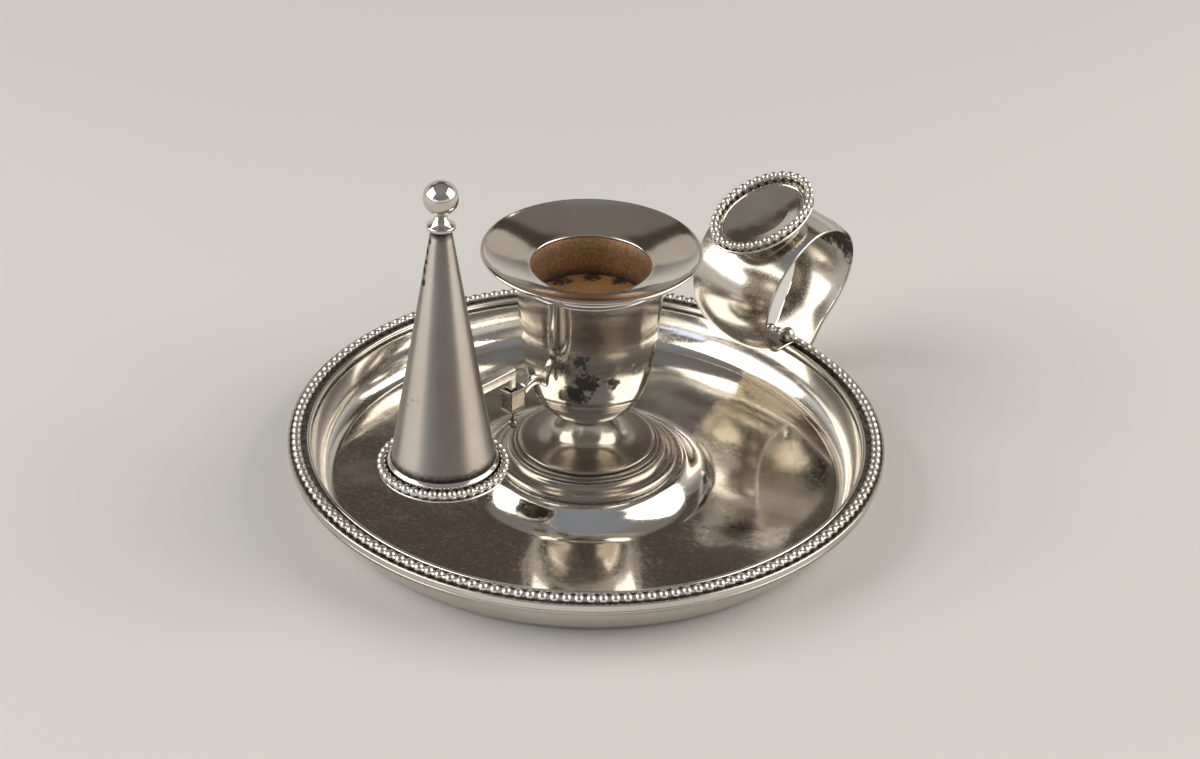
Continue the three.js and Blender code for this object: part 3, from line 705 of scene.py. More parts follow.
# Polished silver sheet: a mirror with swirls of wear and dark pits
PAN_SILVER = silver("polished_silver_sheet", roughness=0.075, pitting=0.45, wave=0.05,
                    stains_and_dark_reflections=[(-31, 26, 1.2, 6), (-31, 48, 1.2, 6), (-45, 22, 1.2, 8), (32, -3, 1.2, 6)])
# Cast and filed silver: the same metal, duller in its hollows
RIM_SILVER = silver("cast_silver_border", roughness=0.1, film=0.45, pitting=0.3, wave=0.0)
# The sleeve, its cap and its drop get a dark brown copy of the same metal: painted shade under the snuffer's
# bar
SHADED_SLEEVE_SILVER = silver("shaded_silver_sleeve", clean="#938a80", yellowed="#6c5f50", roughness=0.14,
                       film=0.7, pitting=0.3, wave=0.0)
# Turned silver of the socket: polished to a mirror, with black tarnish and a painted dark reflection in
# ragged blotches on its belly
CUP_SILVER = silver("turned_silver_socket", clean="#d2ccc3", roughness=0.05, film=0.3, pitting=0.2, wear=0.6,
                    bare=0.95, blots_and_dark_reflections=[(-11.9, -8.7, 37, 4.5), (-10.9, -9.1, 32.1, 6.5),
                                      (-11.6, -7.5, 29, 5.5), (-6.4, -12.6, 31.7, 3.5)])
# The foot and its moulding get a darker, browner copy of the silver: painted shade for the hollow under the
# socket
SHADED_FOOT_SILVER = silver("shaded_silver_foot", clean="#aca499", yellowed="#877b69", roughness=0.17, film=0.6,
                     pitting=0.4, wear=0.6, bare=0.93)
# Bent silver strip: softly polished, with brown pitting and a painted dark reflection where the thumb never
# rubs, and a painted dark reflection with black specks inside the top
HANDLE_SILVER = silver("bent_silver_strip", clean="#cec8bf", roughness=0.13, film=0.6, pitting=0.3, wave=0.05,
                       stains_and_dark_reflections=[(48.5, 8.5, 31, 6)],
                       blots_and_dark_reflections=[(79.8, -6.4, 31.5, 11), (77, -7.5, 35, 10), (80, 0, 30, 7)])
# The thumb plate's dish: rubbed bright, with a light film
PLATE_SILVER = silver("rubbed_silver_plate", roughness=0.09, film=0.5, pitting=0.3)
# The flange's silver: still a mirror, greyed by a film that drips and heat have left
FLANGE_SILVER = silver("dulled_silver_flange", clean="#cfc8be", yellowed="#ada293", film=0.4, pitting=0.3,
                       wear=0.5)
# Rolled and brushed silver: soft bands that run up the cone, and black specks near its top
CONE_SILVER = silver("brushed_silver_cone", clean=SILVER_SATIN, yellowed="#94897b", roughness=0.4, film=0.4,
                     pitting=0.35, wave=0.02, wear=0.4, lathe=1.0, axis=SNUFFER_MID,
                     stains_and_dark_reflections=[(-2.3, 0.7, 71, 6), (-8, 1.0, 41, 4)],
                     blots_and_dark_reflections=[(-2.25, 0.96, 74.5, 1.5), (-2.3, 1.56, 72.5, 1.7), (-2.9, 1.24, 70.2, 1.3),
                            (-2.88, 1.94, 68.4, 1.9), (-3.56, 1.5, 66.0, 1.4)])
# Silver browned by the flame: a dull brown grain inside the tube, and satin silver outside it
TUBE_SILVER = silver("heat_browned_silver", clean="#bd9d7a", yellowed="#7f654c", roughness=0.4, film=0.8,
                     pitting=0.5, wear=0.5, bare=0.75, mottle=0.4, grain=("strokes", 0.5, 0.004, 0.1),
                     unburnt=UNBURNT)
# Silver under old wax: dull and yellow-brown, burnt black along the back
FLOOR_SILVER = silver("wax_stained_silver", clean="#b48a58", yellowed="#84633c", roughness=0.55, film=0.7,
                      pitting=0.4, wear=0.4, bare=0.4, mottle=0.2, unburnt=UNBURNT,
                      blots_and_dark_reflections=[(8.2, 7.4, 43.9, 4.5), (2.0, 10.6, 43.9, 4.5), (10.8, 1.5, 43.9, 3.5)])
# Bright steel of the bolt: grey, with the cut of the tool on it
BOLT_STEEL = silver("turned_bolt_steel", clean="#9b9a98", yellowed="#7d756a", roughness=0.32, film=0.4,
                    pitting=0.3, grain=("rings", 0.3, 0.004, 0.1))


# Pan: dome, floor, wall and ledge

DOME_STEEPEST = math.radians(48)
DOME_SHOULDER = 0.28
SHOULDER_START = 0.15
SHOULDER_TURN = 0.2
DOME_STEPS = 240


def dome_steepness(share):
    """How steep the dome's side is: a quick fall beside the moulding and a long flare out to the floor."""
    if share < DOME_SHOULDER:
        rounding = SHOULDER_START + (1 - SHOULDER_START) * smooth(0.0, SHOULDER_TURN, share)
        return math.tan(DOME_STEEPEST * rounding)
    return math.tan(DOME_STEEPEST * (1 - share) / (1 - DOME_SHOULDER))


dome_fall = [0.0]
for k in range(DOME_STEPS):
    dome_fall.append(dome_fall[-1] + dome_steepness((k + 0.5) / DOME_STEPS))


def dome_height(radius):
    """The dome's height above the floor at a radius."""
    share = min(max((radius - DOME_FLAT) / (DOME_FOOT - DOME_FLAT), 0.0), 1.0)
    return DOME_RISE * (1 - dome_fall[round(share * DOME_STEPS)] / dome_fall[-1])


pan_top = [(BOLT_HOLE, DOME_TOP)]
pan_top += [(r, DOME_TOP) for r in steps_to(BOLT_HOLE, DOME_FLAT, 6)]
pan_top += [(r, PAN_SHEET + dome_height(r)) for r in steps_to(DOME_FLAT, DOME_FOOT, 30)]
pan_top += [(r, PAN_SHEET) for r in steps_to(DOME_FOOT, FLOOR_EDGE, 26)]
for t in steps_to(0.0, math.pi / 2, 28):
    r = FLOOR_EDGE + (LEDGE_INNER - FLOOR_EDGE) * math.sin(t)
    pan_top.append((r, PAN_DEPTH - (PAN_DEPTH - PAN_SHEET) * math.cos(t)))
pan_top.append((LEDGE_OUTER, PAN_DEPTH))
# The underside, listed from the bolt's hole outwards
WALL_END = math.acos(PAN_SHEET / PAN_DEPTH)
pan_under = [(BOLT_HOLE, DOME_RISE), (DOME_FLAT, dome_height(DOME_FLAT))]
pan_under += [(r, dome_height(r)) for r in steps_to(DOME_FLAT, DOME_FOOT, 16)]
for t in [0.0] + steps_to(0.0, WALL_END, 24):
    r = FLOOR_EDGE + (LEDGE_INNER - FLOOR_EDGE + PAN_SHEET) * math.sin(t)
    pan_under.append((r, PAN_DEPTH * (1 - math.cos(t))))
pan_under.append((LEDGE_OUTER, PAN_DEPTH - PAN_SHEET))
pan_outline = pan_top + pan_under[::-1] + [pan_top[0]]
# Soiling and painted shade where the moulding stands on the dome and at the ledge
pan_points, pan_faces, pan_dirt_and_shade = turned(
    pan_outline, [(20.4, DOME_TOP, 0.7, 1.0), (59.9, PAN_DEPTH, 0.5, 0.8)], ROUND_LARGE)

# The hammered sheet is not quite flat from the dome's side to the wall's foot: (depth, width, slice of the
# noise) of its long and short waves, and the radii where they start and are full, inside and outside
HAMMERED = [(0.09, 13.0, 3.0), (0.03, 5.0, 9.0)]
HAMMERED_INSIDE = (22.0, 27.0)
HAMMERED_OUTSIDE = (57.5, 52.0)
top_count = len(pan_top) * ROUND_LARGE
beaten = []
for i, (x, y, z) in enumerate(pan_points):
    if i < top_count:
        r = math.hypot(x, y)
        give = smooth(*HAMMERED_INSIDE, r) * smooth(*HAMMERED_OUTSIDE, r)
        for depth, width, cut in HAMMERED:
            z += depth * give * noise.noise(Vector((x, y, cut)) / width)
    beaten.append((x, y, z))
make("silver_pan", (beaten, pan_faces, pan_dirt_and_shade), PAN_SILVER, "drip_pan")

# Rim: ridge, channel and lip
rim_outline = eased([
    (RIM_SEAM, PAN_DEPTH), (64.9, PAN_DEPTH, 0.1), (PAN_RADIUS, PAN_DEPTH + 0.25, 0.2),
    (PAN_RADIUS, LIP_TOP, 0.28), (LIP_INNER, LIP_TOP, 0.28), (LIP_INNER, RIM_BEAD_SEAT, 0.1),
    (60.95, RIM_BEAD_SEAT, 0.12), (60.85, RIDGE_TOP, 0.4), (LEDGE_INNER, RIDGE_TOP, 0.4),
    (LEDGE_INNER, PAN_DEPTH), (RIM_SEAM, PAN_DEPTH)])
# Soiling and painted shade in the channels beside the beads
rim_dirt_and_shade = [(61.2, RIM_BEAD_SEAT, 0.5, 0.75), (64.2, RIM_BEAD_SEAT, 0.4, 0.8)]
make("silver_rim", turned(rim_outline, rim_dirt_and_shade, ROUND_LARGE), RIM_SILVER, "rim_moulding")
rim_row = circle(RIM_BEAD_CIRCLE, RIM_BEAD_SEAT + RIM_BEAD_RADIUS, RIM_BEADS)
make("silver_rim_beads", bead_row(rim_row, RIM_BEAD_RADIUS), RIM_SILVER, "rim_beading")

# Stepped moulding: base ring, hollow and two thin rings
hollow = flow([(18.45, 7.02), (17.7, 7.22), (17.1, 7.62), (16.75, 8.2), (16.65, 8.5)], 6)
moulding_outline = eased(
    [(BOLT_HOLE, DOME_TOP), (19.85, DOME_TOP, 0.1), (20.0, 6.15, 0.5), (19.6, 6.75, 0.5), (18.7, 6.98, 0.1)]
    + hollow
    + [(16.7, 8.55, 0.05), (16.68, 8.9, 0.16), (16.0, 8.94, 0.06), (15.9, 9.0, 0.04), (15.84, 9.34, 0.14),
       (15.4, MOULDING_TOP, 0.05), (BOLT_HOLE, MOULDING_TOP), (BOLT_HOLE, DOME_TOP)])
# Soiling and painted shade at the moulding's foot, in its hollow and at its steps
moulding_dirt_and_shade = [(20.1, DOME_TOP, 0.45, 1.0), (18.6, 7.0, 0.3, 0.7), (16.65, 8.5, 0.3, 0.9),
                 (15.95, 8.95, 0.2, 0.9), (15.1, MOULDING_TOP, 0.25, 1.0)]
# The moulding uses the darker foot silver: painted shade under the socket
make("silver_foot_moulding", turned(moulding_outline, moulding_dirt_and_shade), SHADED_FOOT_SILVER, "foot_moulding")

# Trumpet foot
trumpet = flow([(15.0, 9.75), (14.92, 10.02), (14.55, 10.2), (12.4, 10.42), (10.2, 10.72), (8.5, 11.2),
                (7.2, 11.9), (6.25, 12.95), (5.55, 14.3), (5.05, 15.7), (4.92, 16.5)], 8)
foot_outline = ([(BOLT_HOLE, MOULDING_TOP), (14.85, MOULDING_TOP)] + trumpet
                + [(4.9, CUP_BOTTOM), (BOLT_HOLE, CUP_BOTTOM), (BOLT_HOLE, MOULDING_TOP)])
foot_dirt_and_shade = [(14.9, MOULDING_TOP, 0.3, 1.0), (4.9, CUP_BOTTOM, 0.3, 0.9)]
make("silver_foot", turned(foot_outline, foot_dirt_and_shade), SHADED_FOOT_SILVER, "socket_foot")

# Socket: a vase with an even wall, and the ring on its mouth
cup_curve = flow([(CUP_FOOT + CUP_WIDENING * s, CUP_BOTTOM + CUP_HEIGHT * h) for h, s in CUP_SHAPE], 10)


def cup_radius(height):
    """The socket's outer radius at a height."""
    for (r0, z0), (r1, z1) in zip(cup_curve, cup_curve[1:]):
        if z0 <= height <= z1:
            return r0 + (r1 - r0) * (height - z0) / (z1 - z0)
    return cup_curve[-1][0]


cup_inner = []
for k in range(len(cup_curve) - 1, 0, -1):
    (r0, z0), (r1, z1) = cup_curve[k - 1], cup_curve[k]
    slope = (r1 - r0) / (z1 - z0)
    if z1 > CUP_INNER_BOTTOM + CUP_INNER_EDGE:
        cup_inner.append((r1 - CUP_WALL * math.hypot(1, slope), z1))
cup_inner.append((cup_inner[-1][0] - 2 * CUP_INNER_EDGE, CUP_INNER_BOTTOM))
cup_outline = ([(BOLT_HOLE, CUP_BOTTOM)] + cup_curve + cup_inner
               + [(BOLT_HOLE, CUP_INNER_BOTTOM), (BOLT_HOLE, CUP_BOTTOM)])
cup_dirt_and_shade = [(CUP_FOOT, CUP_BOTTOM, 0.35, 0.8), (16.0, CUP_TOP, 0.4, 0.7)]
make("silver_cup", turned(cup_outline, cup_dirt_and_shade), CUP_SILVER, "candle_cup")
lip_outline = eased([
    (LIP_RING_SEAM, CUP_TOP), (16.1, CUP_TOP, 0.1), (LIP_RING_OUTER, 51.4, 0.4), (LIP_RING_OUTER, 52.1, 0.4),
    (16.3, SEAT, 0.1), (LIP_RING_INNER, SEAT, 0.1), (LIP_RING_INNER, CUP_TOP, 0.1), (LIP_RING_SEAM, CUP_TOP)])
make("silver_cup_lip", turned(lip_outline, [(16.0, CUP_TOP, 0.3, 0.8)]), CUP_SILVER, "cup_lip_ring")

# Bolt with a thread and a domed head, and its nut under the dome
stud_outline = [(0.0, STUD_END), (1.25, STUD_END), (1.45, 1.7)]
for k in range(THREADS):
    z = THREAD_START + THREAD_PITCH * k
    stud_outline += [(STUD, z), (STUD, z + 0.12), (STUD_ROOT, z + 0.2), (STUD_ROOT, z + 0.28)]
stud_outline += [(STUD, 5.6), (STUD, CUP_INNER_BOTTOM), (3.3, CUP_INNER_BOTTOM),
                 (STUD_HEAD, CUP_INNER_BOTTOM + 0.12)]
stud_outline += flow([(STUD_HEAD, 19.2), (3.1, 19.75), (2.0, 20.15), (0.0, 20.3)], 6)
bolt = turned(stud_outline, [(STUD_HEAD, CUP_INNER_BOTTOM, 0.4, 0.8)], ROUND_SMALL)
make("bolt", bolt, BOLT_STEEL, "socket_stud")


def nut_loop(most, height):
    """A six-sided loop at one height, with its corners cut back to the largest radius."""
    loop = []
    for k in range(NUT_STEPS):
        angle = 2 * math.pi * k / NUT_STEPS
        radius = min(NUT_HALF / math.cos(angle % (math.pi / 3) - math.pi / 6), most)
        loop.append((radius * math.cos(angle), radius * math.sin(angle), height))
    return loop


nut = skin([nut_loop(NUT_FACE, NUT_BOTTOM), nut_loop(NUT_CORNER, NUT_BOTTOM + NUT_CHAMFER),
            nut_loop(NUT_CORNER, NUT_TOP - NUT_CHAMFER), nut_loop(NUT_FACE, NUT_TOP),
            circle(BOLT_HOLE, NUT_TOP, NUT_STEPS), circle(BOLT_HOLE, NUT_BOTTOM, NUT_STEPS)], True)
make("bolt_nut", nut, BOLT_STEEL, "socket_nut")

# Bracket on the socket: arched arm, sleeve with a collar, cap and drop
SLEEVE_MIDDLE = -(PAN_X - middle_x("bracket_sleeve")) / MM
arm_start = -cup_radius(ARM_Z) - ARM_SUNK
arm_end = SLEEVE_MIDDLE + SLEEVE_HALF_X
arm_loops = []
for k in range(ARM_STEPS + 1):
    share = k / ARM_STEPS
    x = arm_start + (arm_end - arm_start) * share
    z = ARM_Z + ARM_ARCH * 4 * share * (1 - share)
    upright = smooth(0.3, 0.0, share) + smooth(0.7, 1.0, share)
    slope = ARM_ARCH * 4 * (1 - 2 * share) / (arm_end - arm_start) * (1 - upright)
    up = Vector((-slope, 0, 1)).normalized()
    thick = ARM_HALF * (1.0 + ARM_SWELL * (smooth(0.18, 0.0, share) + smooth(0.9, 1.0, share)))
    loop = []
    for px, py, _ in rounded_loop(thick, thick, ARM_CORNER, 0.0):
        loop.append((x + up.x * px, py, z + up.z * px))
    arm_loops.append(loop)
make("silver_arm", skin(arm_loops), RIM_SILVER, "bracket_arm")

# The sleeve as (inset, height) loops outside, then its rounded mouth and its pocket
SLEEVE_AXIS = Matrix.Translation((PAN_X + SLEEVE_MIDDLE * MM, 0, 0))
SLEEVE_SHAPE = [(0.02, SLEEVE_LOW), (0.12, SLEEVE_LOW + 0.25), (0.16, SLEEVE_LOW + 0.5),
                (0.16, SLEEVE_HIGH - 0.9), (0.05, SLEEVE_HIGH - 0.72), (0.0, SLEEVE_HIGH - 0.55),
                (0.0, SLEEVE_HIGH - 0.2), (0.06, SLEEVE_HIGH - 0.06)]
sleeve_loops = [rounded_loop(SLEEVE_HALF_X - inset, SLEEVE_HALF_Y - inset, SLEEVE_CORNER, z)
                for inset, z in SLEEVE_SHAPE]
sleeve_loops.append(rounded_loop(SLEEVE_HALF_X - 0.2, SLEEVE_HALF_Y - 0.2, 0.28, SLEEVE_HIGH))
for spread, corner, z in [(POCKET_CORNER, 0.2, SLEEVE_HIGH), (0.0, POCKET_CORNER, SLEEVE_HIGH - 0.15),
                          (0.0, POCKET_CORNER, SLEEVE_LOW)]:
    sleeve_loops.append(rounded_loop(POCKET_HALF_X + spread, POCKET_HALF_Y + spread, corner, z,
                                     POCKET_MIDDLE))
# The sleeve, cap and drop take the dark brown silver: painted shade
make("silver_sleeve", skin(sleeve_loops, True), SHADED_SLEEVE_SILVER, "bracket_sleeve", at=SLEEVE_AXIS)
CAP_SHAPE = [(0.75, CAP_LOW), (0.6, CAP_LOW + 0.1), (0.15, CAP_LOW + 0.55), (0.05, SLEEVE_LOW - 0.1),
             (0.05, SLEEVE_LOW)]
cap_loops = [rounded_loop(SLEEVE_HALF_X - inset, SLEEVE_HALF_Y - inset, SLEEVE_CORNER, z)
             for inset, z in CAP_SHAPE]
make("silver_sleeve_cap", skin(cap_loops), SHADED_SLEEVE_SILVER, "bracket_cap", at=SLEEVE_AXIS)
drop_turn = math.acos(DROP_NECK / DROP_RADIUS)
drop_z = DROP_BALL_TOP - DROP_RADIUS * math.sin(drop_turn)
drop_outline = [(0.0, drop_z - DROP_RADIUS)]
for t in steps_to(-math.pi / 2, drop_turn, DROP_STEPS):
    drop_outline.append((DROP_RADIUS * math.cos(t), drop_z + DROP_RADIUS * math.sin(t)))
drop_outline += [(DROP_NECK, 24.8), (DROP_NECK, 26.3), (0.7, 26.55), (0.95, CAP_LOW), (0.0, CAP_LOW)]
drop_dirt_and_shade = [(DROP_NECK, DROP_BALL_TOP, 0.25, 0.9), (0.9, CAP_LOW, 0.3, 1.0)]
make("silver_drop", turned(drop_outline, drop_dirt_and_shade, ROUND_TINY), SHADED_SLEEVE_SILVER, "bracket_drop",
     at=SLEEVE_AXIS)

# Handle: one broad strip, looped over a finger. Each point of the route has half the strip's width as its Y
strip_route = [(TAIL_END[0], STRIP_TAIL / 2, TAIL_END[1])]
for along, up, widening in LOOP_SHAPE:
    half = (STRIP_TAIL + (STRIP_TOP - STRIP_TAIL) * widening) / 2
    strip_route.append((LOOP_START + LOOP_LENGTH * along, half, STRIP_SEAT + LOOP_HEIGHT * up))
foot_half = strip_route[-1][1]
flat_start = STRIP_END - FOOT_FLAT
strip_route.append((flat_start, foot_half, STRIP_SEAT))
strip_path = [Vector(p) for p in flow(strip_route, 8)]
bent_count = len(strip_path)
strip_path += [Vector((x, foot_half, STRIP_SEAT)) for x in steps_to(flat_start, STRIP_END, 6)]
strip_count = len(strip_path)
run = [0.0]
for before, after in zip(strip_path, strip_path[1:]):
    run.append(run[-1] + (after - before).length)
ACROSS = [-1.0] + steps_to(-1.0, 1.0, 24)
EDGE_TURNS = steps_to(0.0, math.pi, 6)[:-1]
strip_loops = []
for k, p in enumerate(strip_path):
    before = strip_path[max(k - 1, 0)]
    after = strip_path[min(k + 1, strip_count - 1)]
    out = Vector((after.z - before.z, 0, before.x - after.x)).normalized()
    if k >= bent_count - 1:
        out = -UP
    at_end = k in (0, strip_count - 1)
    half = p.y - (STRIP_END_CUT if at_end else 0.0) - STRIP_EDGE
    thin = STRIP_SHEET / 2 * (STRIP_END_THIN if at_end else 1.0)
    middle = Vector((p.x, 0, p.z)) - out * (STRIP_SHEET / 2)
    crown = STRIP_CROWN * smooth(TAIL_FLAT, TAIL_FLAT + TAIL_RUN, run[k])
    crown *= smooth(0.0, FOOT_RUN, run[bent_count - 1] - run[k])
    loop = []
    for side in (1, -1):
        for a in ACROSS[::side]:
            bulge = crown * (1 - a * a) + side * thin
            loop.append(middle + out * bulge + Vector((0, a * half, 0)))
        for angle in EDGE_TURNS:
            y = side * (half + STRIP_EDGE * math.sin(angle))
            loop.append(middle + out * (side * thin * math.cos(angle)) + Vector((0, y, 0)))
    strip_loops.append([tuple(q) for q in loop])
make("silver_handle", skin(strip_loops), HANDLE_SILVER, "handle_loop")

rivet_outline = [(0.0, RIVET_Z), (1.72, RIVET_Z)]
rivet_outline += flow([(1.8, RIVET_Z + 0.2), (1.74, RIVET_Z + 1.1), (1.5, RIVET_Z + 2.0),
                       (0.9, RIVET_Z + 2.75), (0.0, RIVET_Z + 3.0)], 5)
rivet = turned(rivet_outline, [(1.8, RIVET_Z, 0.5, 1.0)], ROUND_TINY)
for name, node, y in [("silver_rivet_near", "handle_rivet_near", -RIVET_Y),
                      ("silver_rivet_far", "handle_rivet_far", RIVET_Y)]:
    make(name, rivet, HANDLE_SILVER, node, at=Matrix.Translation((PAN_X + RIVET_X * MM, y * MM, 0)))

# Thumb plate: a dished oval with a bead border, turned as a round plate and drawn out to its oval
plate_low, plate_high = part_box("thumb_plate")
plate_middle = (plate_low + plate_high) / 2
plate_middle += Vector((-math.sin(PLATE_TILT), 0, math.cos(PLATE_TILT))) * (PLATE_SHEET / 2 * MM)
PLATE_PLACE = Matrix.Translation((plate_middle.x, 0, plate_middle.z)) @ Matrix.Rotation(-PLATE_TILT, 4, "Y")
dish_top = eased([(PLATE_BORDER, 0.0), (8.05, 0.0, 0.12), (7.85, -0.26, 0.15), (7.0, -0.4, 0.8),
                  (4.9, -0.86, 3.0), (2.4, -1.14, 3.0), (0.0, -PLATE_DISH)])
plate_outline = [(0.0, -PLATE_DISH - PLATE_SHEET)]
plate_outline += [(r, z - PLATE_SHEET) for r, z in dish_top[::-1][1:]]
plate_outline += eased([(PLATE_BORDER, -PLATE_SHEET), (PLATE_HALF_Y, -PLATE_SHEET, PLATE_EDGE),
                        (PLATE_HALF_Y, 0.0, PLATE_EDGE), (PLATE_BORDER, 0.0)])[1:]
plate_outline += dish_top[1:]
plate, plate_faces, plate_dirt_and_shade = turned(plate_outline, [(7.85, -0.28, 0.16, 0.85)])
plate = [(x * PLATE_HALF_X / PLATE_HALF_Y, y, z) for x, y, z in plate]
make("silver_thumb_plate", (plate, plate_faces, plate_dirt_and_shade), PLATE_SILVER, "thumb_plate", at=PLATE_PLACE)

# Its beads, at even distances along the oval
row_x = PLATE_HALF_X - THUMB_BEAD_INSET
row_y = PLATE_HALF_Y - THUMB_BEAD_INSET
row_z = THUMB_BEAD_SEAT + THUMB_BEAD_RADIUS
fine_oval = [Vector((row_x * x, row_y * y, z)) for x, y, z in circle(1.0, row_z, OVAL_STEPS)]
lengths = [0.0]
for k in range(OVAL_STEPS):
    lengths.append(lengths[-1] + (fine_oval[(k + 1) % OVAL_STEPS] - fine_oval[k]).length)
thumb_row = []
for k in range(THUMB_BEADS):
    goal = lengths[-1] * k / THUMB_BEADS
    index = next(i for i in range(OVAL_STEPS) if lengths[i + 1] > goal)
    thumb_row.append(fine_oval[index])
make("silver_thumb_beads", bead_row(thumb_row, THUMB_BEAD_RADIUS), RIM_SILVER, "thumb_beading",
     at=PLATE_PLACE)

# Nozzle: dished flange with a rolled edge, tube and floor
flange_top = flow([(13.1, 52.98), (15.5, 53.62), (18.5, 54.62), (21.0, 55.62), (22.2, 56.22)], 6)
flange_under = flow([(22.3, 55.45), (20.6, 54.5), (18.6, 53.35), (16.9, SEAT)], 6)
flange_edge = eased([(22.2, 56.22), (22.75, FLANGE_TOP, 0.3), (FLANGE_RADIUS, 56.35, 0.4),
                     (FLANGE_RADIUS, 55.85, 0.3), (22.3, 55.45)])
flange_bore = [(BORE + BORE_EASE, SEAT), (BORE, SEAT + BORE_EASE), (BORE, 52.72), (BORE + BORE_EASE, 52.9)]
flange_outline = flange_bore + flange_top + flange_edge[1:-1] + flange_under + flange_bore[:1]
make("silver_flange", turned(flange_outline, [(17.0, SEAT, 0.4, 0.8)]), FLANGE_SILVER,
     "nozzle_flange", "nozzle")
tube_outline = [(BORE, TUBE_SEAT), (TUBE - 0.1, TUBE_SEAT), (TUBE, TUBE_SEAT + 0.1), (TUBE, SEAT),
                (BORE, SEAT), (BORE, 49.0), (BORE, 46.0), (BORE, TUBE_SEAT)]
make("silver_tube", turned(tube_outline, [(BORE, 44.0, 0.9, 0.9)]), TUBE_SILVER,
     "nozzle_tube", "nozzle")
floor_outline = [(0.0, NOZZLE_BOTTOM), (TUBE - 0.2, NOZZLE_BOTTOM), (TUBE, NOZZLE_BOTTOM + 0.2),
                 (TUBE, TUBE_SEAT), (FLOOR_RADIUS, TUBE_SEAT), (FLOOR_RADIUS, NOZZLE_FLOOR)]
floor_outline += [(FLOOR_RADIUS * (1 - k / 10), NOZZLE_FLOOR) for k in range(1, 11)]
make("silver_nozzle_floor", turned(floor_outline, [(FLOOR_RADIUS, NOZZLE_FLOOR, 1.0, 1.0)]),
     FLOOR_SILVER, "nozzle_floor", "nozzle")

# Snuffer: cone, base ring, beads, collar and ball
cone_outline = [(0.0, CONE_INNER_TOP), (CONE_INNER_TIP, CONE_INNER_TOP)]
cone_outline += [(CONE_BASE - CONE_WALL, CONE_BOTTOM), (CONE_BASE, CONE_BOTTOM)]
cone_outline += zip(steps_to(CONE_BASE, CONE_TIP, CONE_STEPS), steps_to(CONE_BOTTOM, CONE_TOP, CONE_STEPS))
cone_outline.append((0.0, CONE_TOP))
cone_dirt_and_shade = [(CONE_BASE, CONE_BOTTOM, 0.5, 1.0), (CONE_TIP, CONE_TOP, 0.8, 0.9)]
make("silver_cone", turned(cone_outline, cone_dirt_and_shade), CONE_SILVER, "snuffer_cone", "snuffer")
base_outline = eased([
    (BASE_SEAM, MOUTH), (13.15, MOUTH, 0.1), (13.2, 22.25, 0.2), (11.45, 22.3, 0.1), (11.4, 23.6, 0.2),
    (11.45, 24.35, 0.4), (10.95, 24.75, 0.3), (CONE_BASE + 0.05, 24.9, 0.05), (10.6, CONE_BOTTOM),
    (CONE_BASE - CONE_WALL, CONE_BOTTOM, 0.05), (CONE_BASE - CONE_WALL, MOUTH, 0.2), (BASE_SEAM, MOUTH)])
base_dirt_and_shade = [(11.5, 22.4, 0.7, 1.0), (CONE_BASE, CONE_BOTTOM, 0.3, 1.0)]
make("silver_snuffer_base", turned(base_outline, base_dirt_and_shade), RIM_SILVER, "snuffer_base_ring", "snuffer")
snuffer_row = circle(SNUFFER_BEAD_CIRCLE, MOUTH + SNUFFER_BEAD_SEAT + SNUFFER_BEAD_RADIUS, SNUFFER_BEADS)
make("silver_snuffer_beads", bead_row(snuffer_row, SNUFFER_BEAD_RADIUS), RIM_SILVER,
     "snuffer_beading", "snuffer")
collar_ring = eased([(COLLAR_FOOT, CONE_TOP), (2.35, 76.95, 0.2), (2.87, 77.2, 0.35), (2.87, 77.85, 0.35),
                     (2.42, 78.12)])
collar_flare = flow([(2.42, 78.12), (1.95, 78.5), (1.5, 79.1), (1.2, 79.72)], 7)
collar_neck = eased([(1.2, 79.72), (1.08, 79.95, 0.15), (1.3, 80.12, 0.12), (1.3, 80.26, 0.1),
                     (STALK, STALK_TOP)])
collar_outline = ([(0.0, CONE_TOP), (COLLAR_FOOT, CONE_TOP)] + collar_ring[1:-1] + collar_flare
                  + collar_neck[1:] + [(0.0, STALK_TOP)])
collar_dirt_and_shade = [(2.0, CONE_TOP, 0.3, 0.9), (1.1, 79.95, 0.2, 0.8), (1.2, STALK_TOP, 0.2, 0.8)]
make("silver_collar", turned(collar_outline, collar_dirt_and_shade, ROUND_SMALL), CUP_SILVER,
     "snuffer_collar", "snuffer")
ball_start = math.asin(STALK / BALL_RADIUS)
ball_z = STALK_TOP + BALL_HALF * math.cos(ball_start)
ball_outline = [(0.0, STALK_TOP)]
for t in [ball_start] + steps_to(ball_start, math.pi, BALL_STEPS):
    ball_outline.append((BALL_RADIUS * math.sin(t), ball_z - BALL_HALF * math.cos(t)))
ball_outline[-1] = (0.0, ball_z + BALL_HALF)
ball = turned(ball_outline, [(STALK, STALK_TOP, 0.35, 0.8)], ROUND_SMALL)
make("silver_ball", ball, CUP_SILVER, "snuffer_ball", "snuffer")

# Hook: a square bar on the cone and the tongue that drops into the sleeve
bar_low, bar_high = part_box("snuffer_bar")
bar_length = (bar_high.x - bar_low.x) / MM
bar_half = (bar_high - bar_low) / (2 * MM)
bar_place = Matrix.Translation((bar_low.x, 0, (bar_low.z + bar_high.z) / 2))
bar_place = bar_place @ Matrix.Rotation(math.pi / 2, 4, "Y")
bar = eased_block(bar_half.z, bar_half.y, -BAR_SUNK, bar_length, BAR_EDGE)
make("silver_bar", bar, RIM_SILVER, "snuffer_bar", "snuffer", at=bar_place)
tongue_low, tongue_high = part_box("snuffer_tongue")
tongue_half = (tongue_high - tongue_low) / (2 * MM)
tongue_place = Matrix.Translation(((tongue_low.x + tongue_high.x) / 2, 0, 0))
tongue = eased_block(tongue_half.x, tongue_half.y, tongue_low.z / MM, tongue_high.z / MM, TONGUE_EDGE)
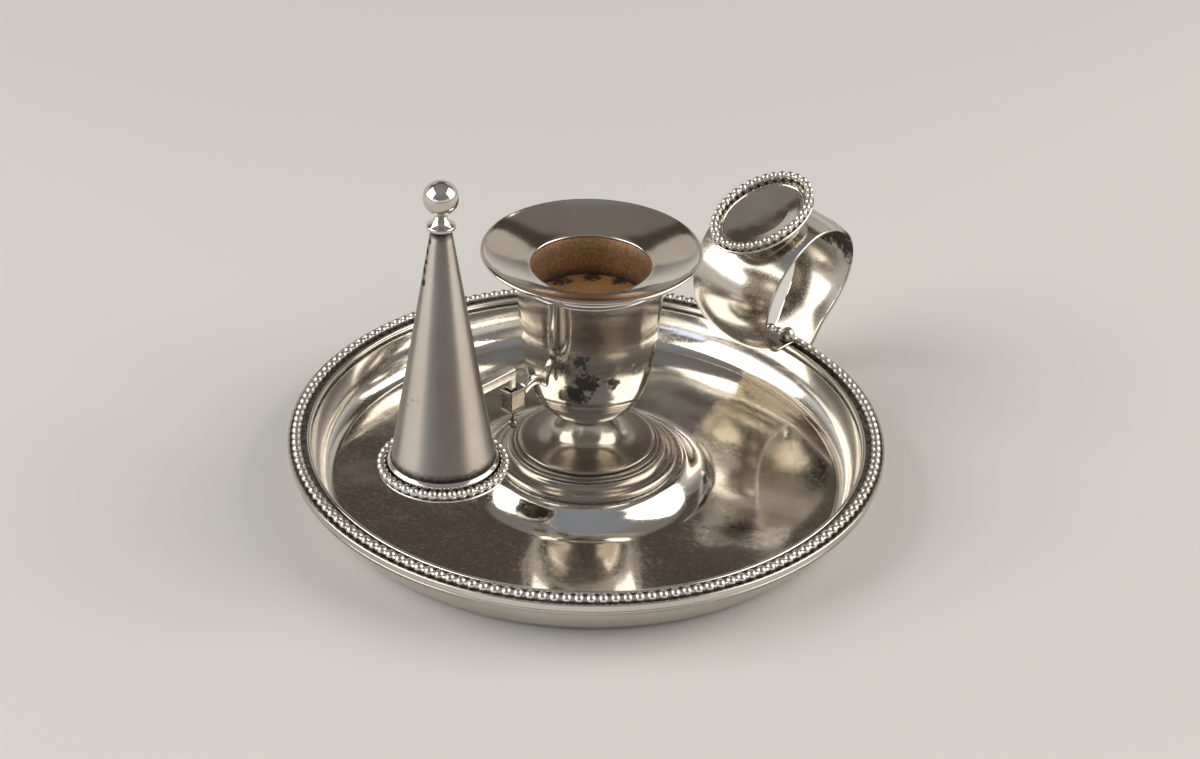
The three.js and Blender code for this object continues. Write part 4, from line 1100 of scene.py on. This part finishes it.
make("silver_tongue", tongue, RIM_SILVER, "snuffer_tongue", "snuffer", at=tongue_place)


# Studio, in metres: pale floor, two soft boxes beside the object and a low cool window in front

PAPER = "#d3d1ce"
FLOOR_HALF = 4.0
FLOOR_DROP = 0.0002
LAMP_AIM = Vector((PAN_X, 0, 0.03))
# Name, direction in the photograph, distance, width, height, watts and colour of each lamp
LAMPS = [("soft_box_left", (-0.84, -0.17, 0.514), 0.95, 0.95, 0.8, 7.5, "#fffdf8"),
         ("soft_box_right", (0.85, -0.02, 0.538), 0.95, 0.95, 0.8, 7.5, "#fffaf3"),
         ("cool_window", (-0.54, -0.83, 0.13), 1.2, 0.7, 0.26, 0.7, "#a9c3f2")]
# The photograph's directions, turned into the part's frame
PHOTO_TURN = Matrix.Rotation(-HANDLE_TURN, 3, "Z")

# Matt studio paper: an even pale surface with hardly any shine
paper = bpy.data.materials.new("matt_studio_paper")
paper.use_nodes = True
for socket, value in [("Base Color", to_linear(PAPER)), ("Roughness", 0.9), ("Specular IOR Level", 0.1)]:
    paper.node_tree.nodes["Principled BSDF"].inputs[socket].default_value = value
floor_mesh = bpy.data.meshes.new("studio_floor")
floor_mesh.from_pydata([(x * FLOOR_HALF, y * FLOOR_HALF, 0) for x, y in [(-1, -1), (1, -1), (1, 1), (-1, 1)]],
                       [], [(0, 1, 2, 3)])
floor_mesh.materials.append(paper)
studio_floor = bpy.data.objects.new("studio_floor", floor_mesh)
studio_floor.location.z = -FLOOR_DROP
bpy.context.scene.collection.objects.link(studio_floor)

for name, direction, distance, width, height, watts, colour in LAMPS:
    lamp = bpy.data.lights.new(name, "AREA")
    lamp.shape = "RECTANGLE"
    lamp.size = width
    lamp.size_y = height
    lamp.energy = watts
    lamp.color = to_linear(colour)[:3]
    box = bpy.data.objects.new(name, lamp)
    away = PHOTO_TURN @ Vector(direction).normalized()
    box.location = LAMP_AIM + away * distance
    box.rotation_euler = away.to_track_quat("Z", "Y").to_euler()
    box.visible_camera = False
    bpy.context.scene.collection.objects.link(box)

# Surroundings: an even grey light. The camera and the metal see them pale at the horizon, dark higher up and
# lighter overhead, with two pale windows behind. A zone is its direction in the photograph, the cosines where
# it starts and is full, and its colour
AMBIENT = "#9b9996"
HORIZON = "#e2e0dd"
OVERHEAD = (0, -0.35, 0.94)
ZONES = [(UP, 0.1, 0.44, "#8b8781"), (UP, 0.505, 0.535, "#544c45"), (OVERHEAD, 0.46, 0.54, "#87827d"),
         (OVERHEAD, 0.78, 0.95, "#8f939b"), ((-0.36, 0.8, 0.48), 0.978, 0.988, "#cfc9c1"),
         ((0.36, 0.8, 0.48), 0.978, 0.988, "#cfc9c1")]
world = bpy.data.worlds.new("pale_studio")
bpy.context.scene.world = world
world.use_nodes = True
sky = world.node_tree
heading = add(sky, "TexCoord").outputs["Generated"]
below = {}
for direction, start, full, colour in ZONES:
    way = PHOTO_TURN @ Vector(direction).normalized()
    facing = add(sky, "VectorMath", {"operation": "DOT_PRODUCT", 1: way}, {0: heading}).outputs["Value"]
    share = add(sky, "MapRange", {"interpolation_type": "SMOOTHSTEP", "From Min": start, "From Max": full},
                {"Value": facing})
    shown = add(sky, "Mix", {"data_type": "RGBA", 6: to_linear(HORIZON), 7: to_linear(colour)},
                {0: share, **below}).outputs[2]
    below = {6: shown}
paths = add(sky, "LightPath")
seen = paths.outputs["Is Camera Ray"]
for ray in ("Is Glossy Ray", "Is Transmission Ray"):
    seen = add(sky, "Math", {"operation": "MAXIMUM"}, {0: seen, 1: paths.outputs[ray]})
lit = add(sky, "Mix", {"data_type": "RGBA", 6: to_linear(AMBIENT)}, {0: seen, 7: shown})
sky.links.new(lit.outputs[2], sky.nodes["Background"].inputs["Color"])

# Camera
lens = bpy.data.cameras.new("camera")
lens.lens = CAMERA_LENS
lens.sensor_width = CAMERA_SENSOR
lens.clip_start = 0.01
lens.clip_end = 50.0
camera = bpy.data.objects.new("camera", lens)
target = Vector((PAN_X, 0, 0)) + PHOTO_TURN @ (Vector(CAMERA_TARGET) * MM)
back = PHOTO_TURN @ Vector((0, -math.cos(CAMERA_RISE), math.sin(CAMERA_RISE)))
camera.location = target + back * (CAMERA_DISTANCE * MM)
looking = (-back).to_track_quat("-Z", "Y").to_matrix()
camera.rotation_euler = (looking @ Matrix.Rotation(CAMERA_ROLL, 3, "Z")).to_euler()
bpy.context.scene.collection.objects.link(camera)
bpy.context.scene.camera = camera
bpy.context.scene.view_settings.view_transform = "Standard"
